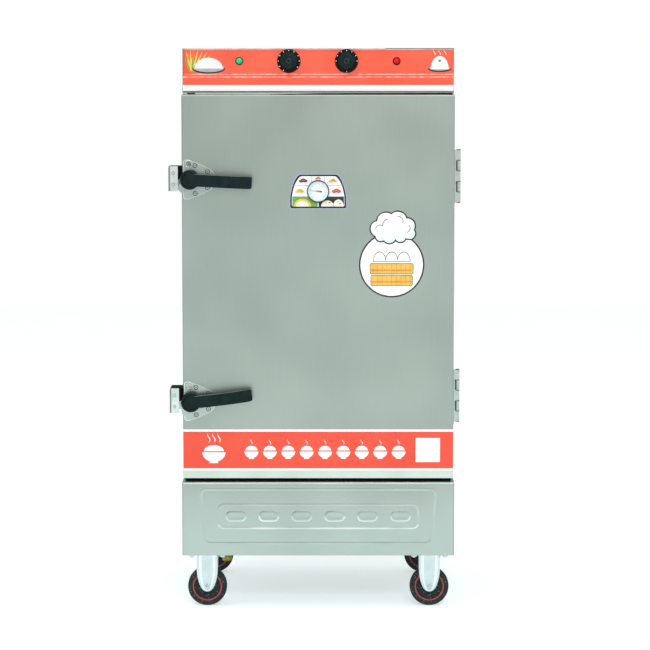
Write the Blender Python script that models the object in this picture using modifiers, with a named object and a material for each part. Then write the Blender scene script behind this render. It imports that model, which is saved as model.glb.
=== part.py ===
"""A ten-tray rice steamer cabinet on casters, in metres, with +Z up and its front towards -Y.

Every piece is laid out in one building frame: X = 0 is the middle of the door, Y = 0 the face of the
front frame that the door shuts against, and Z = 0 the floor. One empty then carries the whole cabinet
sideways, so that the world's origin lies on the floor under the middle of the cabinet's box.
"""

import math

import bmesh
import bpy
from mathutils import Matrix, Vector

# Gaps and cutting
SEAT_GAP = 0.0003  # between two pieces that touch
RUNNING_GAP = 0.0005  # round a shaft, or between faces that turn on each other
CUT_OVERRUN = 0.004
WELD = 0.000002  # points closer than this are one

# The cabinet, from the floor up
CASE_WIDTH = 0.698
CASE_DEPTH = 0.532
CASE_SHEET = 0.001
WHEEL_DIAMETER = 0.102
CASTER_RISE = 0.041  # from the top of a wheel to the underside of the base frame
BASE_FRAME_HEIGHT = 0.040
SKIRT_OVERHANG = 0.002  # the skirt's sides stand out this far beyond the casing
SKIRT_HEIGHT = 0.192
SKIRT_REACH = 0.068  # how far the skirt stands in front of the front frame
SHUT_GAP = 0.008  # above and below the shut door
DOOR_HEIGHT = 0.988
DOOR_THICKNESS = 0.050
GASKET_THICKNESS = 0.006  # the door stands off the front frame by this much
CONTROL_BOX_HEIGHT = 0.111
SIDE_WALL = 0.040
BACK_WALL = 0.045
ROOF_WALL = 0.044
TANK_FLOOR_WALL = 0.047
SILL_RAIL = 0.065  # height of the front frame's bottom rail
FRONT_FRAME_DEPTH = 0.020
LINER_SHEET = 0.001

# Where the hinges and latches sit
HINGE_FROM_END = {"upper": 0.209, "lower": 0.210}  # from that end of the door to the hinge's middle
HINGE_AXIS_OUT = 0.0125  # the pin stands this far out from the side of the case
HINGE_BARREL = 0.011
LATCH_FROM_END = {"upper": 0.216, "lower": 0.2015}  # from that end of the door to the lever's pivot
LATCH_INSET = 0.022  # from the door's edge to the lever's pivot
LATCH_TILTS = {"upper": math.radians(-2.8), "lower": math.radians(7.1)}  # tip up is positive
KEEPER_REACH = 0.033  # the keeper stands out this far from the side of the case
LEVER_LENGTH = 0.158  # pivot to tip
LEVER_REACH = 0.045  # from the door's face to the front of the lever's arch

# Trays and racks
TRAY_COUNT = 10
TRAY_SIDE_ROOM = 0.0115  # from the liner's side to a tray's rim, for the rack's ladder
TRAY_BACK_ROOM = 0.057  # from a tray's rim to the liner's back, for the steam
TRAY_HEIGHT = 0.048
TRAY_SHEET = 0.001
TRAY_FRONT = 0.035  # from the front frame's face to the trays

# Back fittings
INLET_STUB = 0.022  # how far the water inlet stands out of the back

# Levels and planes that follow
BASE_UNDERSIDE = WHEEL_DIAMETER + CASTER_RISE
BASE_TOP = BASE_UNDERSIDE + BASE_FRAME_HEIGHT
SKIRT_TOP = BASE_UNDERSIDE + SKIRT_HEIGHT
DOOR_BOTTOM = SKIRT_TOP + SHUT_GAP
DOOR_TOP = DOOR_BOTTOM + DOOR_HEIGHT
PANEL_BOTTOM = DOOR_TOP + SHUT_GAP
CABINET_TOP = PANEL_BOTTOM + CONTROL_BOX_HEIGHT
CASE_SIDE = CASE_WIDTH / 2
CASE_INSIDE = CASE_SIDE - CASE_SHEET
CASE_BACK_INSIDE = CASE_DEPTH - CASE_SHEET
DOOR_BACK = -GASKET_THICKNESS
DOOR_FACE = DOOR_BACK - DOOR_THICKNESS
LINER_SIDE = CASE_SIDE - SIDE_WALL
LINER_BACK = CASE_DEPTH - BACK_WALL
LINER_TOP = PANEL_BOTTOM - ROOF_WALL
SILL = SKIRT_TOP + SILL_RAIL
TANK_FLOOR = BASE_TOP + TANK_FLOOR_WALL
LINER_FRONT = FRONT_FRAME_DEPTH + SEAT_GAP
SKIRT_FACE = -SKIRT_REACH
SKIRT_WIDTH = CASE_WIDTH + 2 * SKIRT_OVERHANG
TRAY_WIDTH = 2 * (LINER_SIDE - TRAY_SIDE_ROOM)
TRAY_DEPTH = LINER_BACK - TRAY_BACK_ROOM - TRAY_FRONT
HINGE_HEIGHTS = {
    "upper": DOOR_TOP - HINGE_FROM_END["upper"],
    "lower": DOOR_BOTTOM + HINGE_FROM_END["lower"],
}
LATCH_HEIGHTS = {
    "upper": DOOR_TOP - LATCH_FROM_END["upper"],
    "lower": DOOR_BOTTOM + LATCH_FROM_END["lower"],
}
HINGE_AXIS = Vector((CASE_SIDE + HINGE_AXIS_OUT, DOOR_BACK / 2, 0))
LATCH_X = LATCH_INSET - CASE_SIDE

ROUND_STEPS = 20  # sides of a common round piece
MIDDLE_STEPS = 12  # sides of a lens, a ball or a race
SMALL_STEPS = 10  # sides of a pin, a screw or a small hole
SMOOTH_ANGLE = math.radians(40)

# A finish is (red, green, blue), roughness, metallic
FINISHES = {
    "brushed_steel": ((0.40, 0.47, 0.43), 0.34, 1.0),
    "polished_steel": ((0.60, 0.62, 0.60), 0.18, 1.0),
    "galvanised_steel": ((0.62, 0.66, 0.66), 0.42, 1.0),
    "zinc_plate": ((0.72, 0.76, 0.77), 0.28, 1.0),
    "red_film": ((0.95, 0.14, 0.09), 0.40, 0.0),
    "black_plastic": ((0.015, 0.016, 0.018), 0.42, 0.0),
    "black_rubber": ((0.030, 0.033, 0.035), 0.70, 0.0),
    "white_silicone": ((0.72, 0.72, 0.70), 0.60, 0.0),
    "foam": ((0.80, 0.68, 0.42), 0.95, 0.0),
    "brass": ((0.66, 0.53, 0.22), 0.30, 1.0),
    "green_lens": ((0.02, 0.42, 0.16), 0.15, 0.0),
    "red_lens": ((0.62, 0.02, 0.03), 0.15, 0.0),
    "dial_white": ((0.78, 0.90, 0.90), 0.35, 0.0),
    "heater_sheath": ((0.30, 0.31, 0.30), 0.45, 1.0),
}


# Scene, collections and materials


def clear_scene():
    for obj in list(bpy.data.objects):
        bpy.data.objects.remove(obj, do_unlink=True)


def collection(name):
    found = bpy.data.collections.new(name)
    bpy.context.scene.collection.children.link(found)
    return found


def material(name):
    found = bpy.data.materials.get(name)
    if found:
        return found
    made = bpy.data.materials.new(name)
    made.use_nodes = True
    shader = made.node_tree.nodes["Principled BSDF"]
    colour, roughness, metallic = FINISHES[name]
    shader.inputs["Base Color"].default_value = (*colour, 1)
    shader.inputs["Roughness"].default_value = roughness
    shader.inputs["Metallic"].default_value = metallic
    made.diffuse_color = (*colour, 1)
    return made


clear_scene()
PARTS = collection("rice_steamer_cabinet")
CUTTERS = collection("cutters_and_blanks")


# Forms. Each helper returns an object laid out in the building frame


def blank(name, mesh):
    """A working object: hidden in renders until it becomes a piece of the cabinet."""
    obj = bpy.data.objects.new(name, mesh)
    CUTTERS.objects.link(obj)
    obj.hide_render = True
    obj.display_type = "WIRE"
    return obj


def evaluated_mesh(obj):
    graph = bpy.context.evaluated_depsgraph_get()
    return bpy.data.meshes.new_from_object(obj.evaluated_get(graph))


def bake(obj):
    """The object's modifiers become its own mesh."""
    mesh = evaluated_mesh(obj)
    obj.modifiers.clear()
    obj.data = mesh
    return obj


def closed_mesh_of_curve(obj, turn):
    """The curve's mesh with its caps welded on, turned into place. The curve itself is removed."""
    mesh = evaluated_mesh(obj)
    form = bmesh.new()
    form.from_mesh(mesh)
    bmesh.ops.remove_doubles(form, verts=form.verts, dist=WELD)
    bmesh.ops.transform(form, matrix=turn, verts=form.verts)
    bmesh.ops.recalc_face_normals(form, faces=form.faces)
    form.to_mesh(mesh)
    form.free()
    made = blank(obj.name + "_solid", mesh)
    bpy.data.objects.remove(obj, do_unlink=True)
    return made


# How each plane lies: columns are where the drawing's own x, y and depth directions point
FRONT_VIEW = Matrix(((1, 0, 0), (0, 0, -1), (0, 1, 0))).to_4x4()  # draws X across and Z up, depth to -Y
SIDE_VIEW = Matrix(((0, 0, 1), (1, 0, 0), (0, 1, 0))).to_4x4()  # draws Y across and Z up, depth to +X
PLAN_VIEW = Matrix.Identity(4)  # draws X across and Y up, depth to +Z
SIDEWAYS = Matrix.Rotation(math.pi / 2, 4, "Y")  # turns a piece modelled along +Z to lie along +X


def bevel(obj, width, segments=2, angle=math.radians(40)):
    modifier = obj.modifiers.new("rounded_edges", "BEVEL")
    modifier.width = width
    modifier.segments = segments
    modifier.limit_method = "ANGLE"
    modifier.angle_limit = angle
    return bake(obj)


def box(low, high, rounding=0, segments=1):
    low, high = Vector(low), Vector(high)
    form = bmesh.new()
    bmesh.ops.create_cube(form, size=1)
    size = Matrix.Diagonal((*(high - low), 1))
    bmesh.ops.transform(form, matrix=Matrix.Translation((low + high) / 2) @ size, verts=form.verts)
    mesh = bpy.data.meshes.new("box")
    form.to_mesh(mesh)
    form.free()
    made = blank("box", mesh)
    return bevel(made, rounding, segments) if rounding else made


def flat_piece(outlines, near, far, view=FRONT_VIEW):
    """A flat outline, with any holes after it, as a filled 2D curve that is extruded between two depths."""
    curve = bpy.data.curves.new("outline", "CURVE")
    curve.dimensions = "2D"
    curve.fill_mode = "BOTH"
    curve.extrude = abs(far - near) / 2
    for outline in outlines:
        spline = curve.splines.new("POLY")
        spline.points.add(len(outline) - 1)
        for point, (x, y) in zip(spline.points, outline):
            point.co = (x, y, 0, 1)
        spline.use_cyclic_u = True
    drawn = blank("outline", curve)
    return closed_mesh_of_curve(drawn, view @ Matrix.Translation((0, 0, (near + far) / 2)))


def tube(points, radius, sides=8):
    """A round bar or pipe bent along the points."""
    curve = bpy.data.curves.new("centre_line", "CURVE")
    curve.dimensions = "3D"
    curve.bevel_depth = radius
    curve.bevel_resolution = sides // 2 - 2
    curve.use_fill_caps = True
    spline = curve.splines.new("POLY")
    spline.points.add(len(points) - 1)
    for point, place in zip(spline.points, points):
        point.co = (*place, 1)
    return closed_mesh_of_curve(blank("centre_line", curve), Matrix.Identity(4))


def turned(profile, centre, view=PLAN_VIEW, steps=ROUND_STEPS, start=0):
    """(radius, height) points turned about the view's depth direction through the centre.

    The points run down the outer side. A profile that doesn't start and end on the axis is a ring.
    """
    mesh = bpy.data.meshes.new("profile")
    edges = [(i, i + 1) for i in range(len(profile) - 1)]
    if profile[0][0] > 0 or profile[-1][0] > 0:
        edges.append((len(profile) - 1, 0))
    mesh.from_pydata([(radius, 0, height) for radius, height in profile], edges, [])
    made = blank("turned", mesh)
    screw = made.modifiers.new("turned", "SCREW")
    screw.axis = "Z"
    screw.angle = math.tau
    screw.steps = steps
    screw.render_steps = steps
    screw.use_merge_vertices = True
    screw.merge_threshold = WELD
    bake(made)
    made.data.transform(Matrix.Translation(centre) @ view @ Matrix.Rotation(start, 4, "Z"))
    return made


def disc(radius, near, far, centre, view=PLAN_VIEW, steps=ROUND_STEPS, start=0):
    """A plain round bar between two heights along the view's depth direction."""
    return turned(((0, far), (radius, far), (radius, near), (0, near)), centre, view, steps, start)


def bore(radius, near, far, centre, view=PLAN_VIEW, steps=SMALL_STEPS):
    """A cutter whose flats, not its corners, lie on the radius."""
    return disc(radius / math.cos(math.pi / steps), near, far, centre, view, steps)


def folded_sheet(points, near, far, sheet, view, offset=-1):
    """A strip drawn by the points and pulled from near to far, then thickened by Solidify.

    The sheet lies to the left of the path at an offset of -1, and to its right at 1.
    """
    form = bmesh.new()
    rows = [[form.verts.new((x, y, depth)) for x, y in points] for depth in (near, far)]
    for a, b, c, d in zip(rows[0], rows[0][1:], rows[1][1:], rows[1]):
        form.faces.new((a, b, c, d))
    bmesh.ops.transform(form, matrix=view, verts=form.verts)
    mesh = bpy.data.meshes.new("folded_sheet")
    form.to_mesh(mesh)
    form.free()
    return thicken(blank("folded_sheet", mesh), sheet, offset)


def thicken(obj, sheet, offset):
    solidify = obj.modifiers.new("sheet", "SOLIDIFY")
    solidify.thickness = sheet
    solidify.offset = offset
    solidify.use_even_offset = True
    return bake(obj)


def pressed_box(low, high, open_side, sheet, rounding=0, flange=0, offset=-1):
    """A box of sheet with one side open, which may keep a flange round its opening."""
    made = box(low, high)
    form = bmesh.new()
    form.from_mesh(made.data)
    side = max(form.faces, key=lambda face: face.normal.dot(Vector(open_side)))
    if flange:
        bmesh.ops.inset_region(form, faces=[side], thickness=flange)
    bmesh.ops.delete(form, geom=[side], context="FACES")
    form.to_mesh(made.data)
    form.free()
    if rounding:
        bevel(made, rounding, 2)
    return thicken(made, sheet, offset)


def drawn_shell(loops, sheet):
    """Rings of points, anticlockwise from above, lofted one to the next, with the first one filled.

    The rings lie on the outside of the shell and under its flange. The sheet lies inside and above them.
    """
    form = bmesh.new()
    rings = [[form.verts.new(point) for point in loop] for loop in loops]
    form.faces.new(rings[0][::-1])
    for lower, upper in zip(rings, rings[1:]):
        for i in range(len(lower)):
            following = (i + 1) % len(lower)
            form.faces.new((lower[i], lower[following], upper[following], upper[i]))
    mesh = bpy.data.meshes.new("drawn_shell")
    form.to_mesh(mesh)
    form.free()
    return thicken(blank("drawn_shell", mesh), sheet, -1)


def combine(body, other, operation):
    modifier = body.modifiers.new(operation.lower(), "BOOLEAN")
    modifier.operation = operation
    modifier.solver = "EXACT"
    modifier.object = other
    return bake(body)


def cut(body, *cutters):
    for cutter in cutters:
        combine(body, cutter, "DIFFERENCE")
    return body


def join(body, *others):
    for other in others:
        combine(body, other, "UNION")
    return body


def trim(body, other):
    return combine(body, other, "INTERSECT")


def gathered(objects):
    """Separate solids that don't meet, in one mesh, to be cut or joined in one go."""
    form = bmesh.new()
    for obj in objects:
        form.from_mesh(obj.data)
    mesh = bpy.data.meshes.new("gathered")
    form.to_mesh(mesh)
    form.free()
    return blank("gathered", mesh)


def piece(name, form, finish, origin=(0, 0, 0), parent=None):
    """The finished form takes its name and finish. Its origin goes to a point of the building frame."""
    mesh = form.data.copy()
    mesh.name = name
    mesh.transform(Matrix.Translation(-Vector(origin)))
    return copy_piece(name, mesh, finish, origin, 0, parent)


def copy_piece(name, mesh, finish, place, tilt=0, parent=None):
    """A piece that shares a mesh modelled round its own origin. The tilt is about the line to the front."""
    obj = bpy.data.objects.new(name, mesh)
    PARTS.objects.link(obj)
    if not mesh.materials:
        mesh.materials.append(material(finish))
        mesh.shade_smooth()
        mesh.set_sharp_from_angle(angle=SMOOTH_ANGLE)
    obj.parent = parent or CABINET
    obj.location = Vector(place) - (parent.location if parent else Vector())
    obj.rotation_euler = (0, -tilt, 0)
    return obj


def joint_empty(name, place, parent=None):
    """An empty on a joint's axis. What it carries turns or slides with it."""
    empty = bpy.data.objects.new(name, None)
    PARTS.objects.link(empty)
    empty.empty_display_size = HINGE_BARREL
    empty.parent = parent or CABINET
    empty.location = Vector(place)
    return empty


# Outlines


def arc(centre, radius, first, last, steps):
    """Points on a circle from one angle to another, in degrees, anticlockwise when last is larger."""
    angles = [math.radians(first + (last - first) * i / steps) for i in range(steps + 1)]
    return [(centre[0] + radius * math.cos(a), centre[1] + radius * math.sin(a)) for a in angles]


def rounded_rectangle(centre, width, height, radius, steps=3):
    points = []
    for across, up, first in ((1, 1, 0), (-1, 1, 90), (-1, -1, 180), (1, -1, 270)):
        corner_x = centre[0] + across * (width / 2 - radius)
        corner_y = centre[1] + up * (height / 2 - radius)
        points += arc((corner_x, corner_y), radius, first, first + 90, steps)
    return points


def smooth_line(points, steps):
    """A Catmull-Rom line through the points, with the ends held."""
    held = [points[0], *points, points[-1]]
    line = []
    for a, b, c, d in zip(held, held[1:], held[2:], held[3:]):
        for i in range(steps):
            t = i / steps
            weights = (
                (2 - t) * t**2 - t,
                3 * t**3 - 5 * t**2 + 2,
                (4 - 3 * t) * t**2 + t,
                t**3 - t**2,
            )
            line.append(tuple(sum(w * v for w, v in zip(weights, values)) / 2 for values in zip(a, b, c, d)))
    return [*line, points[-1]]


def mirrored(points):
    """A right-hand half outline and its mirror image, as one closed outline."""
    return [*points, *[(-x, y) for x, y in reversed(points)]]


# The empty that carries the cabinet. The box's sides are the keepers and the hinge barrels, its front
# is the levers' arch, and its back the water inlet

LEFT_REACH = CASE_SIDE + KEEPER_REACH
RIGHT_REACH = HINGE_AXIS.x + HINGE_BARREL / 2
FRONT_REACH = LEVER_REACH - DOOR_FACE
BACK_REACH = CASE_DEPTH + INLET_STUB

CABINET = bpy.data.objects.new("cabinet_origin", None)
PARTS.objects.link(CABINET)
CABINET.empty_display_size = CASE_SIDE
CABINET.location = ((LEFT_REACH - RIGHT_REACH) / 2, (FRONT_REACH - BACK_REACH) / 2, 0)


# Base frame: an angle-iron frame under a deck, with wide corner pads that the casters bolt to

FRAME_SETBACK = 0.016  # behind the skirt's face
FRAME_STEEL = 0.003
FRAME_LEG = 0.040
FRAME_DECK = 0.0015
FRONT_PAD_WIDTH = 0.112
FRONT_PAD_DEPTH = 0.107
REAR_PAD_WIDTH = 0.150
REAR_PAD_DEPTH = 0.130

FRAME_SIDE = CASE_INSIDE - SEAT_GAP
FRAME_FRONT = SKIRT_FACE + FRAME_SETBACK
FRAME_BACK = CASE_BACK_INSIDE - SEAT_GAP

# The drain goes through the tank's floor, the foam and the deck, behind the skirt's left end
DRAIN_INSET = 0.107  # from the casing's left side
DRAIN_X = DRAIN_INSET - CASE_SIDE
DRAIN_Y = 0.092
DRAIN_PIPE_RADIUS = 0.010


def drain_hole(low, high):
    return bore(DRAIN_PIPE_RADIUS + RUNNING_GAP, low, high, (DRAIN_X, DRAIN_Y, 0))


def make_base_frame():
    frame = box((-FRAME_SIDE, FRAME_FRONT, BASE_UNDERSIDE), (FRAME_SIDE, FRAME_BACK, BASE_TOP))
    hollow = box(
        (FRAME_STEEL - FRAME_SIDE, FRAME_FRONT + FRAME_STEEL, BASE_UNDERSIDE + FRAME_STEEL),
        (FRAME_SIDE - FRAME_STEEL, FRAME_BACK - FRAME_STEEL, BASE_TOP - FRAME_DECK),
    )
    half = [
        (FRAME_SIDE - FRONT_PAD_WIDTH, FRAME_FRONT + FRAME_LEG),
        (FRAME_SIDE - FRONT_PAD_WIDTH, FRAME_FRONT + FRONT_PAD_DEPTH),
        (FRAME_SIDE - FRAME_LEG, FRAME_FRONT + FRONT_PAD_DEPTH),
        (FRAME_SIDE - FRAME_LEG, FRAME_BACK - REAR_PAD_DEPTH),
        (FRAME_SIDE - REAR_PAD_WIDTH, FRAME_BACK - REAR_PAD_DEPTH),
        (FRAME_SIDE - REAR_PAD_WIDTH, FRAME_BACK - FRAME_LEG),
    ]
    mouth_top = BASE_UNDERSIDE + 2 * FRAME_STEEL
    mouth = flat_piece([mirrored(half)], BASE_UNDERSIDE - CUT_OVERRUN, mouth_top, PLAN_VIEW)
    cut(frame, hollow, mouth, drain_hole(BASE_UNDERSIDE, BASE_TOP + CUT_OVERRUN))
    piece("base_frame", frame, "galvanised_steel")


# Outer casing: one sheet wrapped round the two sides and the back

LID_SHEET = 0.0015
LID_LIP = 0.012
VENT_RADIUS = 0.020
VENT_INSET = 0.149  # from the casing's right side
VENT_BELOW_ROOF = 0.060
VENT_STUB = 0.014
VENT_WALL = 0.0015
INLET_INSET = 0.079  # from the casing's left side
INLET_RADIUS = 0.010
FLOAT_LEVEL = 0.050  # the float's pivot lies this far below the sill
GLAND_INSET = 0.109  # from the casing's right side
GLAND_RADIUS = 0.012
GLAND_STUB = 0.018
GLAND_NUT = 0.007
CORD_HOLE_RADIUS = 0.0055
LOUVRE_COUNT = 6
LOUVRE_LENGTH = 0.050
LOUVRE_HEIGHT = 0.005
LOUVRE_PITCH = 0.014
CASE_FRONT = 0.0018  # the casing starts just behind the front frame's sheet

VENT_X = CASE_SIDE - VENT_INSET
INLET_X = INLET_INSET - CASE_SIDE
GLAND_X = CASE_SIDE - GLAND_INSET
VENT_LEVEL = LINER_TOP - VENT_BELOW_ROOF
FLOAT_PIVOT_LEVEL = SILL - FLOAT_LEVEL
CONTROL_MIDDLE = PANEL_BOTTOM + CONTROL_BOX_HEIGHT / 2


def back_hole(x, level, radius):
    """A cutter through the casing's back, the foam and the liner."""
    return bore(radius, -BACK_REACH, CUT_OVERRUN - LINER_BACK, (x, 0, level), FRONT_VIEW)


def make_outer_casing():
    right_half = [(CASE_SIDE, CASE_FRONT), (CASE_SIDE, CASE_DEPTH)]
    plan = mirrored(right_half)
    top = CABINET_TOP - LID_SHEET - SEAT_GAP
    casing = folded_sheet(plan, BASE_UNDERSIDE, top, CASE_SHEET, PLAN_VIEW)
    louvres = []
    for row in range(LOUVRE_COUNT):
        level = CONTROL_MIDDLE + (row - (LOUVRE_COUNT - 1) / 2) * LOUVRE_PITCH
        louvres.append(box(
            (-LOUVRE_LENGTH / 2, CASE_DEPTH - CUT_OVERRUN, level - LOUVRE_HEIGHT / 2),
            (LOUVRE_LENGTH / 2, CASE_DEPTH + CUT_OVERRUN, level + LOUVRE_HEIGHT / 2),
        ))
    cut(casing, gathered(louvres))
    cut(casing, back_hole(VENT_X, VENT_LEVEL, VENT_RADIUS + RUNNING_GAP))
    cut(casing, back_hole(INLET_X, FLOAT_PIVOT_LEVEL, INLET_RADIUS + RUNNING_GAP))
    stub_end = -CASE_DEPTH - GLAND_STUB
    nut_end = -CASE_DEPTH - GLAND_NUT
    centre = (GLAND_X, 0, CONTROL_MIDDLE)
    nut = disc(GLAND_RADIUS, nut_end, CASE_SHEET / 2 - CASE_DEPTH, centre, FRONT_VIEW, 6)
    dome = turned(
        (
            (0, nut_end + SEAT_GAP),
            (GLAND_RADIUS * 3 / 4, nut_end + SEAT_GAP),
            (GLAND_RADIUS * 3 / 4, stub_end + GLAND_NUT),
            (GLAND_RADIUS / 2, stub_end),
            (0, stub_end),
        ),
        centre,
        FRONT_VIEW,
        SMALL_STEPS,
    )
    join(casing, nut, dome)
    hole_end = CUT_OVERRUN - CASE_BACK_INSIDE
    cut(casing, bore(CORD_HOLE_RADIUS, stub_end - CUT_OVERRUN, hole_end, centre, FRONT_VIEW))
    piece("outer_casing", casing, "brushed_steel")


# Top cover: a lid whose lip drops inside the casing


def make_top_cover():
    side = CASE_INSIDE - SEAT_GAP
    back = CASE_BACK_INSIDE - SEAT_GAP
    lid = box((-CASE_SIDE, CASE_FRONT, CABINET_TOP - LID_SHEET), (CASE_SIDE, CASE_DEPTH, CABINET_TOP))
    front = PANEL_FLANGE + PANEL_RECESS + CASE_FRONT
    lip = box((-side, front, CABINET_TOP - LID_LIP), (side, back, CABINET_TOP - LID_SHEET / 2))
    inside = box(
        (LID_SHEET - side, front + LID_SHEET, CABINET_TOP - LID_LIP - CUT_OVERRUN),
        (side - LID_SHEET, back - LID_SHEET, CABINET_TOP - LID_SHEET),
    )
    join(lid, lip)
    cut(lid, inside)
    piece("top_cover", lid, "brushed_steel")


# Control panel: a bent sheet with its upper face set back above a sloping ledge

PANEL_SHEET = 0.0012
PANEL_RECESS = 0.008
PANEL_FLANGE = 0.018
PANEL_STRIP = 0.037  # height of the lower strip
PANEL_LEDGE = 0.007  # height of the slope above it
CONTROL_LEVEL = 0.033  # the knobs and lamps sit this far below the top
KNOB_PLACES = {"left": -0.0755, "right": 0.073}
SHAFT_RADIUS = 0.003
LAMP_INSETS = {"lamp_green": 0.146, "lamp_red": 0.1474}  # from the casing's side
LAMP_PLACES = {
    "lamp_green": LAMP_INSETS["lamp_green"] - CASE_SIDE,
    "lamp_red": CASE_SIDE - LAMP_INSETS["lamp_red"],
}
LAMP_BODY_RADIUS = 0.0075
LAMP_BODY_DEPTH = 0.026
BEZEL_RADIUS = 0.010
BEZEL_THICKNESS = 0.003
LENS_RADIUS = 0.0085
LENS_DOME = 0.004

PANEL_SIDE = CASE_INSIDE - SEAT_GAP
PANEL_TOP = CABINET_TOP - LID_SHEET - SEAT_GAP
CONTROL_Z = CABINET_TOP - CONTROL_LEVEL
PANEL_BACK = PANEL_RECESS + PANEL_SHEET


def make_control_panel():
    strip_top = PANEL_BOTTOM + PANEL_STRIP
    profile = [
        (PANEL_RECESS + PANEL_FLANGE, PANEL_TOP),
        (PANEL_RECESS, PANEL_TOP),
        (PANEL_RECESS, strip_top + PANEL_LEDGE),
        (0, strip_top),
        (0, PANEL_BOTTOM + SEAT_GAP),
        (PANEL_FLANGE, PANEL_BOTTOM + SEAT_GAP),
    ]
    panel = folded_sheet(profile, -PANEL_SIDE, PANEL_SIDE, PANEL_SHEET, SIDE_VIEW)
    holes = [(x, SHAFT_RADIUS + RUNNING_GAP) for x in KNOB_PLACES.values()]
    holes += [(x, LAMP_BODY_RADIUS + SEAT_GAP) for x in LAMP_PLACES.values()]
    for x, radius in holes:
        reach = PANEL_BACK + CUT_OVERRUN
        cut(panel, bore(radius, -reach, reach - PANEL_RECESS, (x, 0, CONTROL_Z), FRONT_VIEW))
    piece("control_panel", panel, "red_film")


def make_lamps():
    finishes = {"lamp_green": "green_lens", "lamp_red": "red_lens"}
    for name, x in LAMP_PLACES.items():
        bezel_back = SEAT_GAP
        bezel_front = bezel_back + BEZEL_THICKNESS
        profile = (
            (0, bezel_front + LENS_DOME),
            (LENS_RADIUS * 2 / 3, bezel_front + LENS_DOME * 3 / 4),
            (LENS_RADIUS, bezel_front),
            (BEZEL_RADIUS, bezel_front),
            (BEZEL_RADIUS, bezel_back),
            (LAMP_BODY_RADIUS, bezel_back),
            (LAMP_BODY_RADIUS, -LAMP_BODY_DEPTH),
            (0, -LAMP_BODY_DEPTH),
        )
        lamp = turned(profile, (x, PANEL_RECESS, CONTROL_Z), FRONT_VIEW, MIDDLE_STEPS)
        piece(name, lamp, finishes[name])


# Thermostat and timer: housings behind the panel, whose shafts carry the knobs

CONTROL_BODY_WIDTH = 0.048
CONTROL_BODY_HEIGHT = 0.040
THERMOSTAT_DEPTH = 0.030
TIMER_DEPTH = 0.042
SHAFT_REACH = 0.014  # in front of the panel's face
BODY_STEP = 0.006

KNOB_SKIRT_RADIUS = 0.030
KNOB_SKIRT_THICKNESS = 0.004
KNOB_CAP_RADIUS = 0.0206
KNOB_CAP_DEPTH = 0.018
KNOB_FLUTES = 10
KNOB_FLUTE_DEPTH = 0.0012
KNOB_STANDOFF = 0.001  # between the panel's face and the knob


def make_control_body(name, x, depth):
    back = PANEL_BACK + SEAT_GAP
    low = (x - CONTROL_BODY_WIDTH / 2, back + BODY_STEP, CONTROL_Z - CONTROL_BODY_HEIGHT / 2)
    high = (x + CONTROL_BODY_WIDTH / 2, back + BODY_STEP + depth, CONTROL_Z + CONTROL_BODY_HEIGHT / 2)
    body = box(low, high, BODY_STEP / 3)
    centre = (x, 0, CONTROL_Z)
    neck = disc(CONTROL_BODY_WIDTH / 3, -back - BODY_STEP * 2, -back, centre, FRONT_VIEW, MIDDLE_STEPS)
    shaft_end = SHAFT_REACH - PANEL_RECESS
    shaft = disc(SHAFT_RADIUS, -back - BODY_STEP, shaft_end, centre, FRONT_VIEW, SMALL_STEPS)
    piece(name, join(body, neck, shaft), "black_plastic")


def knob_outline():
    """A circle whose edge dips into a flute between each pair of ribs."""
    points = []
    for i in range(KNOB_FLUTES * 3):
        angle = math.tau * i / (KNOB_FLUTES * 3)
        dip = KNOB_FLUTE_DEPTH * (i % 3 == 2)
        radius = KNOB_CAP_RADIUS - dip
        points.append((radius * math.cos(angle), radius * math.sin(angle)))
    return points


def make_knobs():
    """Each knob is modelled round its shaft's axis, with the panel's face at Y = 0."""
    skirt_front = KNOB_STANDOFF + KNOB_SKIRT_THICKNESS
    cap_front = skirt_front + KNOB_CAP_DEPTH
    skirt = turned(
        (
            (0, skirt_front),
            (KNOB_CAP_RADIUS, skirt_front),
            (KNOB_SKIRT_RADIUS, skirt_front - KNOB_SKIRT_THICKNESS / 2),
            (KNOB_SKIRT_RADIUS, KNOB_STANDOFF),
            (0, KNOB_STANDOFF),
        ),
        (0, 0, 0),
        FRONT_VIEW,
    )
    cap = flat_piece([knob_outline()], skirt_front - KNOB_SKIRT_THICKNESS / 3, cap_front)
    dish = turned(
        (
            (0, cap_front + CUT_OVERRUN),
            (KNOB_CAP_RADIUS * 3 / 4, cap_front + CUT_OVERRUN),
            (KNOB_CAP_RADIUS * 2 / 3, cap_front - KNOB_FLUTE_DEPTH),
            (0, cap_front - KNOB_FLUTE_DEPTH),
        ),
        (0, 0, 0),
        FRONT_VIEW,
        MIDDLE_STEPS,
    )
    hole = bore(SHAFT_RADIUS + SEAT_GAP, -CUT_OVERRUN, SHAFT_REACH + SEAT_GAP, (0, 0, 0), FRONT_VIEW)
    knob = cut(join(skirt, cap), dish, hole)
    knob.data.name = "knob"
    for side, x in KNOB_PLACES.items():
        copy_piece(f"knob_{side}", knob.data, "black_plastic", (x, PANEL_RECESS, CONTROL_Z))


# Shelf between the chamber's roof and the controls

SHELF_SHEET = 0.001
SHELF_LIP = 0.014


def make_control_shelf():
    """Its front edge stops behind the control panel's bottom flange."""
    level = PANEL_BOTTOM - SEAT_GAP - SHELF_SHEET
    profile = [
        (-PANEL_SIDE, level + SHELF_LIP),
        (-PANEL_SIDE, level),
        (PANEL_SIDE, level),
        (PANEL_SIDE, level + SHELF_LIP),
    ]
    near = -PANEL_FLANGE - SEAT_GAP - PANEL_SHEET
    shelf = folded_sheet(profile, SEAT_GAP - CASE_BACK_INSIDE, near, SHELF_SHEET, FRONT_VIEW)
    piece("control_shelf", shelf, "galvanised_steel")


# Front frame: a flanged picture frame that the door's gasket presses on

FRAME_SHEET = 0.0015


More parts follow.
